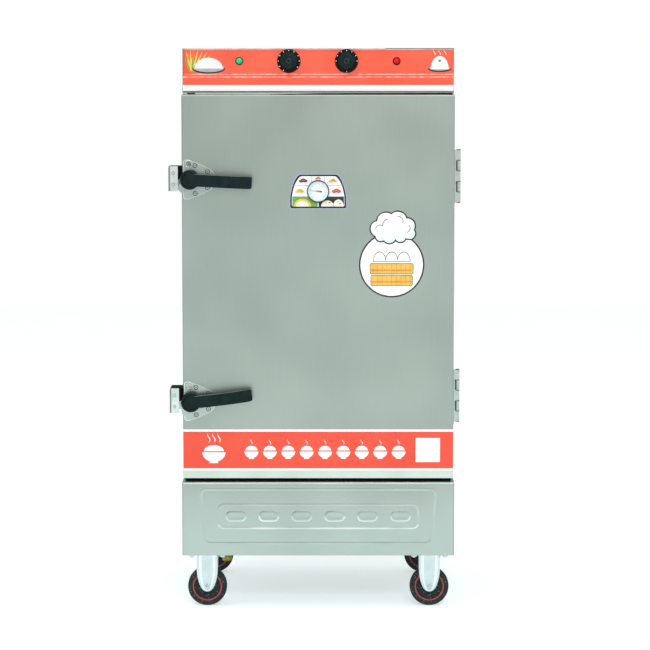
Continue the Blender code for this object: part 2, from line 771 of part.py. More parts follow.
def make_front_frame():
    bottom = SKIRT_TOP + SEAT_GAP
    top = PANEL_BOTTOM - SHELF_SHEET - SEAT_GAP * 2
    face = box((-CASE_SIDE, 0, bottom), (CASE_SIDE, FRAME_SHEET, top))
    side = CASE_INSIDE - SEAT_GAP
    rim = box((-side, FRAME_SHEET / 2, bottom), (side, FRONT_FRAME_DEPTH, top))
    opening = box(
        (-LINER_SIDE, -CUT_OVERRUN, SILL),
        (LINER_SIDE, FRONT_FRAME_DEPTH + CUT_OVERRUN, LINER_TOP),
    )
    trough = box(
        (FRAME_SHEET - side, FRAME_SHEET, bottom + FRAME_SHEET),
        (side - FRAME_SHEET, FRONT_FRAME_DEPTH + CUT_OVERRUN, top - FRAME_SHEET),
    )
    inner_rim = box(
        (-LINER_SIDE - FRAME_SHEET, -CUT_OVERRUN, SILL - FRAME_SHEET),
        (LINER_SIDE + FRAME_SHEET, FRONT_FRAME_DEPTH + 2 * CUT_OVERRUN, LINER_TOP + FRAME_SHEET),
    )
    cut(trough, inner_rim)
    frame = cut(join(face, rim), opening, trough)
    piece("front_frame", frame, "brushed_steel")


# Inner liner: the chamber, the tank sunk below its sill, and the steam vent through the back

HEATER_COUNT = 3
HEATER_PITCH = 0.070
HEATER_BEND = 0.020  # radius of a U element's bend
HEATER_RADIUS = 0.005
HEATER_LENGTH = 0.340
HEATER_ABOVE_FLOOR = 0.040


def heater_legs():
    """The X place of each straight leg."""
    legs = []
    for i in range(HEATER_COUNT):
        middle = (i - (HEATER_COUNT - 1) / 2) * HEATER_PITCH
        legs += [middle - HEATER_BEND, middle + HEATER_BEND]
    return legs


def make_inner_liner():
    low = (-LINER_SIDE, LINER_FRONT, TANK_FLOOR)
    high = (LINER_SIDE, LINER_BACK, LINER_TOP)
    liner = pressed_box(low, high, (0, -1, 0), LINER_SHEET, offset=1)
    dam = box(
        (-LINER_SIDE - LINER_SHEET / 2, LINER_FRONT, TANK_FLOOR - LINER_SHEET / 2),
        (LINER_SIDE + LINER_SHEET / 2, LINER_FRONT + LINER_SHEET, SILL),
    )
    vent_end = -CASE_DEPTH - VENT_STUB
    vent_place = (VENT_X, 0, VENT_LEVEL)
    vent = disc(VENT_RADIUS, vent_end, -LINER_BACK - LINER_SHEET / 2, vent_place, FRONT_VIEW, MIDDLE_STEPS)
    vent_bore = disc(
        VENT_RADIUS - VENT_WALL,
        vent_end - CUT_OVERRUN,
        CUT_OVERRUN - LINER_BACK,
        vent_place,
        FRONT_VIEW,
        MIDDLE_STEPS,
    )
    join(liner, dam, vent)
    cut(liner, vent_bore, back_hole(INLET_X, FLOAT_PIVOT_LEVEL, INLET_RADIUS + RUNNING_GAP))
    cut(liner, drain_hole(TANK_FLOOR - CUT_OVERRUN, TANK_FLOOR + CUT_OVERRUN))
    level = TANK_FLOOR + HEATER_ABOVE_FLOOR
    holes = [
        bore(
            HEATER_RADIUS + RUNNING_GAP,
            -LINER_FRONT - CUT_OVERRUN,
            CUT_OVERRUN - LINER_FRONT,
            (x, 0, level),
            FRONT_VIEW,
        )
        for x in heater_legs()
    ]
    cut(liner, gathered(holes))
    piece("inner_liner", liner, "brushed_steel")


# Foam between liner and casing, open at the front


def make_wall_insulation():
    side = CASE_INSIDE - SEAT_GAP
    foam = box(
        (-side, LINER_FRONT, BASE_TOP + SEAT_GAP),
        (side, CASE_BACK_INSIDE - SEAT_GAP, PANEL_BOTTOM - SHELF_SHEET - SEAT_GAP * 2),
    )
    skin = LINER_SHEET + SEAT_GAP
    cavity = box(
        (-LINER_SIDE - skin, LINER_FRONT - CUT_OVERRUN, TANK_FLOOR - skin),
        (LINER_SIDE + skin, LINER_BACK + skin, LINER_TOP + skin),
    )
    cut(foam, cavity)
    cut(foam, back_hole(VENT_X, VENT_LEVEL, VENT_RADIUS + RUNNING_GAP))
    cut(foam, back_hole(INLET_X, FLOAT_PIVOT_LEVEL, INLET_RADIUS + RUNNING_GAP))
    cut(foam, drain_hole(BASE_TOP - CUT_OVERRUN, TANK_FLOOR))
    piece("wall_insulation", foam, "foam")


# Skirt panel: the bent front of the base, with a pressed field in two rounded borders

SKIRT_SHEET = 0.001
SKIRT_LAP = 0.020  # its sides lap the casing by this much
FIELD_SIDE_MARGIN = 0.050  # from the skirt's side to the field
FIELD_DROP = 0.020  # from the skirt's top to the field
FIELD_RISE = 0.038  # from the skirt's bottom to the field
FIELD_SIDE_GUTTER = 0.040  # between the two borders
FIELD_GUTTER = 0.037  # between them, above and below
FIELD_CORNER = 0.014
FIELD_BORDER = 0.005
FIELD_RELIEF = 0.0015
STUD_COUNT = 6
STUD_WIDTH = 0.054
STUD_HEIGHT = 0.029
STUD_END_ROOM = 0.0215  # from the inner border to the first stud

FIELD_WIDTH = SKIRT_WIDTH - 2 * FIELD_SIDE_MARGIN
FIELD_HEIGHT = SKIRT_HEIGHT - FIELD_DROP - FIELD_RISE
FIELD_INNER_WIDTH = FIELD_WIDTH - 2 * FIELD_SIDE_GUTTER
FIELD_INNER_HEIGHT = FIELD_HEIGHT - 2 * FIELD_GUTTER
STUD_PITCH = (FIELD_INNER_WIDTH - STUD_WIDTH - 2 * STUD_END_ROOM) / (STUD_COUNT - 1)


def pressed_border(width, height, middle):
    """A raised rounded frame line on the skirt's face."""
    near = -SKIRT_FACE - SKIRT_SHEET / 2
    far = -SKIRT_FACE + FIELD_RELIEF
    outer = rounded_rectangle((0, middle), width, height, FIELD_CORNER, 2)
    inner_width, inner_height = width - 2 * FIELD_BORDER, height - 2 * FIELD_BORDER
    inner = rounded_rectangle((0, middle), inner_width, inner_height, FIELD_CORNER - FIELD_BORDER, 2)
    return flat_piece([outer, inner], near, far)


def make_skirt_panel():
    side = SKIRT_WIDTH / 2
    profile = [
        (-SEAT_GAP, SKIRT_TOP),
        (SKIRT_FACE, SKIRT_TOP),
        (SKIRT_FACE, BASE_UNDERSIDE),
        (FRAME_FRONT - SEAT_GAP, BASE_UNDERSIDE),
    ]
    skirt = folded_sheet(profile, -side, side, SKIRT_SHEET, SIDE_VIEW)
    for edge in (-side, side - SKIRT_SHEET):
        wall = box((edge, SKIRT_FACE, BASE_UNDERSIDE), (edge + SKIRT_SHEET, SKIRT_LAP, SKIRT_TOP))
        join(skirt, wall)
    middle = SKIRT_TOP - FIELD_DROP - FIELD_HEIGHT / 2
    borders = [
        pressed_border(FIELD_WIDTH, FIELD_HEIGHT, middle),
        pressed_border(FIELD_INNER_WIDTH, FIELD_INNER_HEIGHT, middle),
    ]
    for i in range(STUD_COUNT):
        x = (i - (STUD_COUNT - 1) / 2) * STUD_PITCH
        outline = rounded_rectangle((x, middle), STUD_WIDTH, STUD_HEIGHT, STUD_HEIGHT / 2, 3)
        near = -SKIRT_FACE - SKIRT_SHEET / 2
        borders.append(flat_piece([outline], near, -SKIRT_FACE + FIELD_RELIEF))
    join(skirt, gathered(borders))
    piece("skirt_panel", skirt, "brushed_steel")


# Tray racks: a ladder of slotted sheet on each side, with a shelf angle on each rung

RACK_SHEET = 0.002
RACK_POST = 0.022
RACK_RUNG = 0.014
RACK_SHELF = 0.0205  # how far a shelf reaches in from the ladder
RACK_SHELF_SHEET = 0.0015
RACK_FRONT = 0.026
RACK_BACK_ROOM = 0.010
RACK_HEAD_ROOM = 0.030
RACK_FOOT_ROOM = 0.004
LOWEST_RIM_ABOVE_SILL = 0.070
HIGHEST_RIM_BELOW_ROOF = 0.105

TRAY_PITCH = (LINER_TOP - HIGHEST_RIM_BELOW_ROOF - SILL - LOWEST_RIM_ABOVE_SILL) / (TRAY_COUNT - 1)


def rim_level(number):
    """The underside of a tray's rim, counted from the lowest."""
    return SILL + LOWEST_RIM_ABOVE_SILL + number * TRAY_PITCH


def make_racks():
    """The shelves' tops lie just under the tray rims. The left rack mirrors the right one."""
    outside = LINER_SIDE - SEAT_GAP
    inside = outside - RACK_SHEET
    front, back = RACK_FRONT, LINER_BACK - RACK_BACK_ROOM
    foot, head = SILL + RACK_FOOT_ROOM, LINER_TOP - RACK_HEAD_ROOM
    tops = [rim_level(number) - SEAT_GAP for number in range(TRAY_COUNT)]
    outlines = [[(front, foot), (back, foot), (back, head), (front, head)]]
    lower = foot
    for top in [*tops, head + RACK_RUNG]:
        upper = min(top - RACK_RUNG, head - RACK_RUNG)
        start = lower if lower > foot else foot + RACK_RUNG
        if upper - start > RACK_RUNG:
            outlines.append([
                (front + RACK_POST, start),
                (back - RACK_POST, start),
                (back - RACK_POST, upper),
                (front + RACK_POST, upper),
            ])
        lower = top
    for name, side in (("rack_right", 1), ("rack_left", -1)):
        near, far = sorted((side * inside, side * outside))
        ladder = flat_piece(outlines, near, far, SIDE_VIEW)
        shelves = []
        for top in tops:
            edges = sorted((side * (inside + RACK_SHEET / 2), side * (outside - RACK_SHELF - RACK_SHEET)))
            shelves.append(box((edges[0], front, top - RACK_SHELF_SHEET), (edges[1], back, top)))
        piece(name, join(ladder, gathered(shelves)), "polished_steel")


# Trays: drawn from sheet with a drafted wall and a flat rim

TRAY_RIM = 0.016
TRAY_DRAFT = 0.010
TRAY_CORNER = 0.020


def tray_ring(shrink, corner, level):
    outline = rounded_rectangle((0, 0), TRAY_WIDTH - 2 * shrink, TRAY_DEPTH - 2 * shrink, corner, 2)
    return [(x, y, level) for x, y in outline]


def make_trays():
    """Modelled round the middle of its rim's underside. It slides on its shelves."""
    rings = [
        tray_ring(TRAY_RIM + TRAY_DRAFT, TRAY_CORNER, -TRAY_HEIGHT),
        tray_ring(TRAY_RIM, TRAY_CORNER, 0),
        tray_ring(0, TRAY_CORNER / 2, 0),
    ]
    tray = drawn_shell(rings, TRAY_SHEET)
    tray.data.name = "tray"
    middle = TRAY_FRONT + TRAY_DEPTH / 2
    for number in range(TRAY_COUNT):
        place = (0, middle, rim_level(number))
        copy_piece(f"tray_{number + 1:02d}", tray.data, "polished_steel", place)


# Heater unit: U elements brazed through one flange, terminals towards the skirt

HEATER_FLANGE_SHEET = 0.004
HEATER_FLANGE_HEIGHT = 0.046
TERMINAL_LENGTH = 0.018
TERMINAL_RADIUS = 0.003


def make_heater_unit():
    level = TANK_FLOOR + HEATER_ABOVE_FLOOR
    flange_back = LINER_FRONT - SEAT_GAP
    flange_front = flange_back - HEATER_FLANGE_SHEET
    width = HEATER_PITCH * HEATER_COUNT + HEATER_FLANGE_HEIGHT / 2
    outline = rounded_rectangle((0, level), width, HEATER_FLANGE_HEIGHT, HEATER_FLANGE_HEIGHT / 4, 2)
    unit = flat_piece([outline], -flange_back, -flange_front)
    legs = heater_legs()
    bend_start = LINER_FRONT + HEATER_LENGTH - HEATER_BEND
    inside_flange = flange_back - HEATER_FLANGE_SHEET / 2
    elements = []
    for left, right in zip(legs[::2], legs[1::2]):
        bend = arc(((left + right) / 2, bend_start), HEATER_BEND, 180, 0, 5)
        route = [(left, inside_flange), *bend, (right, inside_flange)]
        elements.append(tube([(x, y, level) for x, y in route], HEATER_RADIUS, 6))
    join(unit, gathered(elements))
    terminals = [
        disc(
            TERMINAL_RADIUS,
            HEATER_FLANGE_SHEET / 2 - flange_back,
            TERMINAL_LENGTH - flange_front,
            (x, 0, level),
            FRONT_VIEW,
            6,
        )
        for x in legs
    ]
    piece("heater_unit", join(unit, gathered(terminals)), "heater_sheath")


# Float valve: fed through the back, its arm closes it when the tank is full

VALVE_WIDTH = 0.034
VALVE_DEPTH = 0.022
VALVE_HEIGHT = 0.034
FLOAT_ARM_LENGTH = 0.120
FLOAT_ARM_RADIUS = 0.003
FLOAT_RADIUS = 0.024
FLOAT_DROP = math.radians(35)  # how far the arm hangs down while the tank is empty
FLOAT_EYE_RADIUS = 0.007
FLOAT_PIN_RADIUS = 0.0025
FLOAT_EYE_DEPTH = 0.008
PIPE_RING = 0.003


def float_eye_plane():
    """The eye turns on a pin in front of the valve's body."""
    return LINER_BACK - SEAT_GAP - VALVE_DEPTH - RUNNING_GAP


def make_float_valve():
    back = LINER_BACK - SEAT_GAP
    low = (INLET_X - VALVE_WIDTH / 2, back - VALVE_DEPTH, FLOAT_PIVOT_LEVEL - VALVE_HEIGHT / 2)
    high = (INLET_X + VALVE_WIDTH / 2, back, FLOAT_PIVOT_LEVEL + VALVE_HEIGHT / 2)
    valve = box(low, high, PIPE_RING / 2)
    centre = (INLET_X, 0, FLOAT_PIVOT_LEVEL)
    end = -CASE_DEPTH - INLET_STUB
    pipe = turned(
        (
            (0, CUT_OVERRUN - back),
            (INLET_RADIUS, CUT_OVERRUN - back),
            (INLET_RADIUS, end + PIPE_RING),
            (INLET_RADIUS - PIPE_RING / 3, end),
            (INLET_RADIUS - PIPE_RING, end),
            (INLET_RADIUS - PIPE_RING, end + INLET_STUB),
            (0, end + INLET_STUB),
        ),
        centre,
        FRONT_VIEW,
        SMALL_STEPS,
    )
    eye_front = float_eye_plane() - FLOAT_EYE_DEPTH
    pin_end = -eye_front + RUNNING_GAP + PIPE_RING
    pin = turned(
        (
            (0, pin_end),
            (FLOAT_PIN_RADIUS * 2, pin_end),
            (FLOAT_PIN_RADIUS * 2, RUNNING_GAP - eye_front),
            (FLOAT_PIN_RADIUS, RUNNING_GAP - eye_front),
            (FLOAT_PIN_RADIUS, CUT_OVERRUN * 2 - back),
            (0, CUT_OVERRUN * 2 - back),
        ),
        centre,
        FRONT_VIEW,
        SMALL_STEPS,
    )
    piece("float_valve", join(valve, pipe, pin), "brass")


def make_float_arm():
    """Drawn level, as in a full tank. It rests on its lower stop, because the tank is empty."""
    plane = float_eye_plane()
    middle = plane - FLOAT_EYE_DEPTH / 2
    centre = (INLET_X, 0, FLOAT_PIVOT_LEVEL)
    eye = disc(FLOAT_EYE_RADIUS, -plane, FLOAT_EYE_DEPTH - plane, centre, FRONT_VIEW, SMALL_STEPS)
    hole = bore(
        FLOAT_PIN_RADIUS + SEAT_GAP,
        -plane - CUT_OVERRUN,
        FLOAT_EYE_DEPTH - plane + CUT_OVERRUN,
        centre,
        FRONT_VIEW,
    )
    ball_x = INLET_X + FLOAT_ARM_LENGTH
    rod_start = INLET_X + FLOAT_EYE_RADIUS - FLOAT_PIN_RADIUS
    rod = tube(
        [(rod_start, middle, FLOAT_PIVOT_LEVEL), (ball_x, middle, FLOAT_PIVOT_LEVEL)],
        FLOAT_ARM_RADIUS,
        6,
    )
    side_points = arc((0, 0), FLOAT_RADIUS, 60, -60, 4)
    profile = [(0, FLOAT_RADIUS), *side_points, (0, -FLOAT_RADIUS)]
    ball = turned(profile, (ball_x, middle, FLOAT_PIVOT_LEVEL), steps=MIDDLE_STEPS)
    arm = cut(join(eye, rod, ball), hole)
    pivot = (INLET_X, middle, FLOAT_PIVOT_LEVEL)
    arm.data.transform(Matrix.Translation(-Vector(pivot)))
    copy_piece("float_arm", arm.data, "brass", pivot, -FLOAT_DROP)


# Drain valve: a brass ball valve hung from the tank, with its lever at rest pointing back

DRAIN_BODY_RADIUS = 0.015
DRAIN_HEX_RADIUS = 0.0125
DRAIN_HEX_HEIGHT = 0.012
DRAIN_OUTLET_LEVEL = 0.100
DRAIN_BODY_HEIGHT = 0.022
STEM_RADIUS = 0.004
STEM_REACH = 0.012
DRAIN_LEVER_LENGTH = 0.070
DRAIN_LEVER_WIDTH = 0.012
DRAIN_LEVER_SHEET = 0.003
DRAIN_BORE_RADIUS = 0.006


def drain_body_level():
    return DRAIN_OUTLET_LEVEL + DRAIN_HEX_HEIGHT + DRAIN_BODY_HEIGHT / 2


def make_drain_valve():
    centre = (DRAIN_X, DRAIN_Y, 0)
    hex_top = DRAIN_OUTLET_LEVEL + DRAIN_HEX_HEIGHT
    body_top = hex_top + DRAIN_BODY_HEIGHT
    outlet = disc(DRAIN_HEX_RADIUS, DRAIN_OUTLET_LEVEL, hex_top + SEAT_GAP, centre, steps=6)
    body = turned(
        (
            (0, body_top),
            (DRAIN_BODY_RADIUS * 3 / 4, body_top),
            (DRAIN_BODY_RADIUS, body_top - DRAIN_BODY_HEIGHT / 4),
            (DRAIN_BODY_RADIUS, hex_top + DRAIN_BODY_HEIGHT / 4),
            (DRAIN_BODY_RADIUS * 3 / 4, hex_top),
            (0, hex_top),
        ),
        centre,
        steps=MIDDLE_STEPS,
    )
    pipe_top = TANK_FLOOR + SEAT_GAP
    pipe = disc(DRAIN_PIPE_RADIUS, body_top - CUT_OVERRUN, pipe_top, centre, steps=SMALL_STEPS)
    level = drain_body_level()
    stem_end = DRAIN_BODY_RADIUS + STEM_REACH
    stem = disc(STEM_RADIUS, 0, stem_end, (DRAIN_X, DRAIN_Y, level), SIDEWAYS, SMALL_STEPS)
    hole = bore(DRAIN_BORE_RADIUS, DRAIN_OUTLET_LEVEL - CUT_OVERRUN, hex_top, centre)
    piece("drain_valve", cut(join(outlet, body, pipe, stem), hole), "brass")


def make_drain_lever():
    """A flat blade on the stem, square to the pipe while the valve is shut."""
    level = drain_body_level()
    near = DRAIN_X + DRAIN_BODY_RADIUS + STEM_REACH / 2
    far = near + DRAIN_LEVER_SHEET
    half = DRAIN_LEVER_WIDTH / 2
    blade = flat_piece(
        [[
            *arc((DRAIN_Y, level), half, 270, 90, 6),
            *arc((DRAIN_Y + DRAIN_LEVER_LENGTH - half, level), half, 90, -90, 6),
        ]],
        near,
        far,
        SIDE_VIEW,
    )
    hole = bore(
        STEM_RADIUS + SEAT_GAP,
        near - DRAIN_X - CUT_OVERRUN,
        far - DRAIN_X + CUT_OVERRUN,
        (DRAIN_X, DRAIN_Y, level),
        SIDEWAYS,
    )
    piece("drain_lever", cut(blade, hole), "polished_steel", (near, DRAIN_Y, level))


# Door: a pressed skin, a pan that closes its back, foam between them, and a gasket

DOOR_SHEET = 0.0012
DOOR_EDGE_RADIUS = 0.003
DOOR_RIM = 0.012
PAN_SHEET = 0.001
PAN_DEPTH = 0.010
GASKET_WIDTH = 0.014
GASKET_INSET = 0.013  # from the door's edge to the gasket
STEM_HOLE_RADIUS = 0.004
THERMOMETER_LEVEL = 1.085

DOOR_SIDE = CASE_SIDE
THERMOMETER_DROP = DOOR_TOP - THERMOMETER_LEVEL


def stem_hole():
    centre = (0, 0, DOOR_TOP - THERMOMETER_DROP)
    return bore(STEM_HOLE_RADIUS, -CUT_OVERRUN, CUT_OVERRUN - DOOR_FACE, centre, FRONT_VIEW)


def make_door(hinge):
    low = (-DOOR_SIDE, DOOR_FACE, DOOR_BOTTOM)
    high = (DOOR_SIDE, DOOR_BACK, DOOR_TOP)
    skin = pressed_box(low, high, (0, 1, 0), DOOR_SHEET, DOOR_EDGE_RADIUS, DOOR_RIM)
    piece("door_outer_skin", cut(skin, stem_hole()), "brushed_steel", HINGE_AXIS, hinge)

    inset = DOOR_EDGE_RADIUS + SEAT_GAP
    pan_low = (inset - DOOR_SIDE, DOOR_BACK - DOOR_SHEET - SEAT_GAP - PAN_DEPTH, DOOR_BOTTOM + inset)
    pan_high = (DOOR_SIDE - inset, DOOR_BACK - DOOR_SHEET - SEAT_GAP, DOOR_TOP - inset)
    pan = pressed_box(pan_low, pan_high, (0, -1, 0), PAN_SHEET)
    rise = DOOR_RIM + SEAT_GAP
    centre_low = (rise - DOOR_SIDE, pan_high[1] - PAN_SHEET / 2, DOOR_BOTTOM + rise)
    centre_high = (DOOR_SIDE - rise, DOOR_BACK, DOOR_TOP - rise)
    centre = box(centre_low, centre_high)
    piece("door_inner_pan", cut(join(pan, centre), stem_hole()), "brushed_steel", HINGE_AXIS, hinge)

    foam_inset = inset + PAN_SHEET + SEAT_GAP
    foam = box(
        (foam_inset - DOOR_SIDE, DOOR_FACE + DOOR_SHEET + SEAT_GAP, DOOR_BOTTOM + foam_inset),
        (DOOR_SIDE - foam_inset, pan_high[1] - PAN_SHEET - SEAT_GAP, DOOR_TOP - foam_inset),
    )
    piece("door_insulation", cut(foam, stem_hole()), "foam", HINGE_AXIS, hinge)

    middle = (0, (DOOR_BOTTOM + DOOR_TOP) / 2)
    width = 2 * (DOOR_SIDE - GASKET_INSET)
    height = DOOR_HEIGHT - 2 * GASKET_INSET
    outer = rounded_rectangle(middle, width, height, GASKET_WIDTH, 3)
    inner_width = width - 2 * GASKET_WIDTH
    inner_height = height - 2 * GASKET_WIDTH
    inner = rounded_rectangle(middle, inner_width, inner_height, GASKET_WIDTH / 4, 3)
    gasket = flat_piece([outer, inner], SEAT_GAP, -DOOR_BACK - SEAT_GAP)
    piece("door_gasket", gasket, "white_silicone", HINGE_AXIS, hinge)


# Thermometer: a bezel with a dial on a stem through the door, and its needle

DIAL_RADIUS = 0.0285
DIAL_BEZEL = 0.0035
DIAL_DEPTH = 0.009
DIAL_FACE = 0.004  # the dial's face above the door
DIAL_STEM_RADIUS = 0.0035
DIAL_STEM_END = 0.003  # behind the front frame's face
DIAL_POST_RADIUS = 0.0009
DIAL_POST_END = 0.0065
NEEDLE_TIP = 0.020
NEEDLE_TAIL = 0.011
NEEDLE_WIDTH = 0.0016
NEEDLE_HUB = 0.0022
NEEDLE_SHEET = 0.0007
NEEDLE_TILT = math.radians(3)


def make_thermometer(hinge):
    centre = (0, DOOR_FACE, DOOR_TOP - THERMOMETER_DROP)
    rim = DIAL_RADIUS - DIAL_BEZEL
    case = turned(
        (
            (0, DIAL_POST_END),
            (DIAL_POST_RADIUS, DIAL_POST_END),
            (DIAL_POST_RADIUS, DIAL_FACE),
            (rim, DIAL_FACE),
            (rim, DIAL_DEPTH),
            (DIAL_RADIUS, DIAL_DEPTH - DIAL_BEZEL / 2),
            (DIAL_RADIUS, SEAT_GAP),
            (DIAL_STEM_RADIUS, SEAT_GAP),
            (DIAL_STEM_RADIUS, DOOR_FACE - DIAL_STEM_END),
            (0, DOOR_FACE - DIAL_STEM_END),
        ),
        centre,
        FRONT_VIEW,
    )
    piece("thermometer_case", case, "dial_white", HINGE_AXIS, hinge)
    half = NEEDLE_WIDTH / 2
    outline = [(-NEEDLE_TIP, half / 3), (-NEEDLE_TIP, -half / 3), (0, -half), (NEEDLE_TAIL, -half * 3 / 2)]
    outline += [(NEEDLE_TAIL, half * 3 / 2), (0, half)]
    near = DIAL_FACE + RUNNING_GAP
    far = near + NEEDLE_SHEET
    needle = flat_piece([outline], near, far)
    hub = disc(NEEDLE_HUB, near, far, (0, 0, 0), FRONT_VIEW, SMALL_STEPS)
    hole = bore(DIAL_POST_RADIUS + SEAT_GAP, near - NEEDLE_SHEET, far + NEEDLE_SHEET, (0, 0, 0), FRONT_VIEW)
    cut(join(needle, hub), hole)
    copy_piece("thermometer_needle", needle.data, "black_plastic", centre, NEEDLE_TILT, hinge)


# Hinges: five knuckles on one pin, an arm on each knuckle, and a leaf on each side face

HINGE_HEIGHT = 0.136
HINGE_KNUCKLES = 5
HINGE_SHEET = 0.002
HINGE_PIN_RADIUS = 0.0023
HINGE_HEAD_RADIUS = 0.0042
HINGE_HEAD_THICKNESS = 0.0016
BODY_LEAF_DEPTH = 0.038
DOOR_LEAF_DEPTH = 0.040
HINGE_STEPS = 12
HINGE_FLUSH = 0.0002  # an arm lies this far inside the faces it runs into


def knuckle(index, back):
    """One knuckle with its arm, round the middle of the hinge. The arm is tangent to the barrel."""
    length = HINGE_HEIGHT / HINGE_KNUCKLES
    low = (index - HINGE_KNUCKLES / 2) * length + SEAT_GAP / 2
    high = low + length - SEAT_GAP
    radius = HINGE_BARREL / 2
    barrel = disc(radius, low, high, (0, 0, 0), steps=HINGE_STEPS)
    edge = radius - HINGE_FLUSH
    inner, outer = (radius - HINGE_SHEET, edge) if back else (-edge, HINGE_SHEET - radius)
    arm = box((SEAT_GAP - HINGE_AXIS_OUT + HINGE_FLUSH, inner, low), (0, outer, high))
    return join(barrel, arm)


def make_hinge_leaves():
    """Both leaves are modelled round the middle of the pin. The leaf on the case carries the pin."""
    radius = HINGE_BARREL / 2
    inside = SEAT_GAP - HINGE_AXIS_OUT
    half = HINGE_HEIGHT / 2
    outside = inside + HINGE_SHEET
    body_leaf = box((inside, radius - HINGE_SHEET, -half), (outside, radius + BODY_LEAF_DEPTH, half))
    door_leaf = box((inside, -radius - DOOR_LEAF_DEPTH, -half), (outside, HINGE_SHEET - radius, half))
    for index in range(HINGE_KNUCKLES):
        on_door = index % 2 == 0
        join(door_leaf if on_door else body_leaf, knuckle(index, not on_door))
    overhang = half + HINGE_HEAD_THICKNESS
    pin = turned(
        (
            (0, overhang),
            (HINGE_HEAD_RADIUS, half + HINGE_HEAD_THICKNESS / 2),
            (HINGE_HEAD_RADIUS, half + SEAT_GAP),
            (HINGE_PIN_RADIUS, half + SEAT_GAP),
            (HINGE_PIN_RADIUS, -half - SEAT_GAP),
            (HINGE_HEAD_RADIUS, -half - SEAT_GAP),
            (HINGE_HEAD_RADIUS, -half - HINGE_HEAD_THICKNESS / 2),
            (0, -overhang),
        ),
        (0, 0, 0),
        steps=SMALL_STEPS,
    )
    cut(door_leaf, bore(HINGE_PIN_RADIUS + SEAT_GAP, -overhang, overhang, (0, 0, 0)))
    join(body_leaf, pin)
    return body_leaf.data, door_leaf.data


def make_hinges(hinge):
    body_leaf, door_leaf = make_hinge_leaves()
    for name, level in HINGE_HEIGHTS.items():
        place = (HINGE_AXIS.x, HINGE_AXIS.y, level)
        copy_piece(f"hinge_leaf_body_{name}", body_leaf, "polished_steel", place)
        copy_piece(f"hinge_leaf_door_{name}", door_leaf, "polished_steel", place, 0, hinge)


# Latches: a pressed base plate with the pivot, a steel cam, and an arched lever

PLATE_SHEET = 0.0017
PLATE_HALF_HEIGHT = 0.052
PLATE_LEFT = 0.019  # the plate's reach either side of the pivot
PLATE_RIGHT = 0.064
PLATE_CORNER = 0.007
# The plate's upper edge from left to right, as shares of PLATE_RIGHT and PLATE_HALF_HEIGHT
PLATE_EDGE_SHARES = ((-0.094, 1.0), (0.164, 0.885), (0.5625, 0.673), (0.82, 0.5), (1.0, 0.22))
PLATE_DISH_RADIUS = 0.018
PLATE_DISH_TOP_RADIUS = 0.015
PLATE_DISH_HEIGHT = 0.0057
# Screws of the base plate, as shares of PLATE_RIGHT and PLATE_HALF_HEIGHT
SCREW_PLACE_SHARES = ((0.192, 0.685), (0.192, -0.685), (0.6875, 0.39), (0.6875, -0.39))
SCREW_HEAD_RADIUS = 0.0062
SCREW_HEAD_HEIGHT = 0.0026

CAM_RADIUS = 0.0215
CAM_THICKNESS = 0.006
CAM_CLEARANCE = 0.0025  # between the open cam and the keeper's edge
CAM_LOBE_TOP = 0.012
CAM_LOBE_BOTTOM = 0.028
CAM_LOBE_TOE = 0.034
CAM_TOE_IN = 0.0065

PIVOT_RADIUS = 0.006
BOSS_RADIUS = 0.025
BOSS_DEPTH = 0.025
BOSS_CAP_RADIUS = 0.018
BOSS_CAP_RISE = 0.0015
LEVER_HEIGHT = 0.033
LEVER_TIP_HEIGHT = 0.028
# The lever in plan, as shares of LEVER_LENGTH along it and of LEVER_REACH out from the door's face
LEVER_OUTER_SHARES = (
    (0.0, 0.80), (0.14, 0.89), (0.32, 0.965), (0.52, 1.0), (0.74, 0.95), (0.90, 0.80), (0.985, 0.58)
)
LEVER_TIP_SHARES = ((1.0, 0.44), (0.978, 0.345), (0.935, 0.40))
LEVER_INNER_SHARES = (
    (0.87, 0.56), (0.74, 0.68), (0.52, 0.745), (0.30, 0.70), (0.19, 0.56), (0.12, 0.35), (0.0, 0.30)
)
LEVER_EDGE = 0.0022


def plate_outline():
    """The fan-shaped base plate, seen from the front with the pivot at the origin."""
    edge = [(x * PLATE_RIGHT, z * PLATE_HALF_HEIGHT) for x, z in PLATE_EDGE_SHARES]
    corner = (PLATE_CORNER - PLATE_LEFT, PLATE_HALF_HEIGHT - PLATE_CORNER)
    upper = [*arc(corner, PLATE_CORNER, 180, 100, 3), *edge]
    return [*upper, *[(x, -z) for x, z in reversed(upper)]]


def make_latch_base():
    """The door's face is at Y = 0. The pivot pin stands on the dish and ends inside the lever's boss."""
    plate = flat_piece([plate_outline()], SEAT_GAP, SEAT_GAP + PLATE_SHEET)
    dish_top = SEAT_GAP + PLATE_DISH_HEIGHT
    pin_end = lever_back() + BOSS_DEPTH * 3 / 4
    dish = turned(
        (
            (0, pin_end),
            (PIVOT_RADIUS, pin_end),
            (PIVOT_RADIUS, dish_top),
            (PLATE_DISH_TOP_RADIUS, dish_top),
            (PLATE_DISH_RADIUS, SEAT_GAP + PLATE_SHEET),
            (PLATE_DISH_RADIUS, SEAT_GAP + PLATE_SHEET / 2),
            (0, SEAT_GAP + PLATE_SHEET / 2),
        ),
        (0, 0, 0),
        FRONT_VIEW,
        MIDDLE_STEPS,
    )
    heads = []
    for x, z in SCREW_PLACE_SHARES:
        top = SEAT_GAP + PLATE_SHEET + SCREW_HEAD_HEIGHT
        heads.append(turned(
            (
                (0, top),
                (SCREW_HEAD_RADIUS, top - SCREW_HEAD_HEIGHT * 2 / 3),
                (SCREW_HEAD_RADIUS, SEAT_GAP + PLATE_SHEET / 2),
                (0, SEAT_GAP + PLATE_SHEET / 2),
            ),
            (x * PLATE_RIGHT, 0, z * PLATE_HALF_HEIGHT),
            FRONT_VIEW,
            SMALL_STEPS,
        ))
    return join(plate, dish, gathered(heads)).data


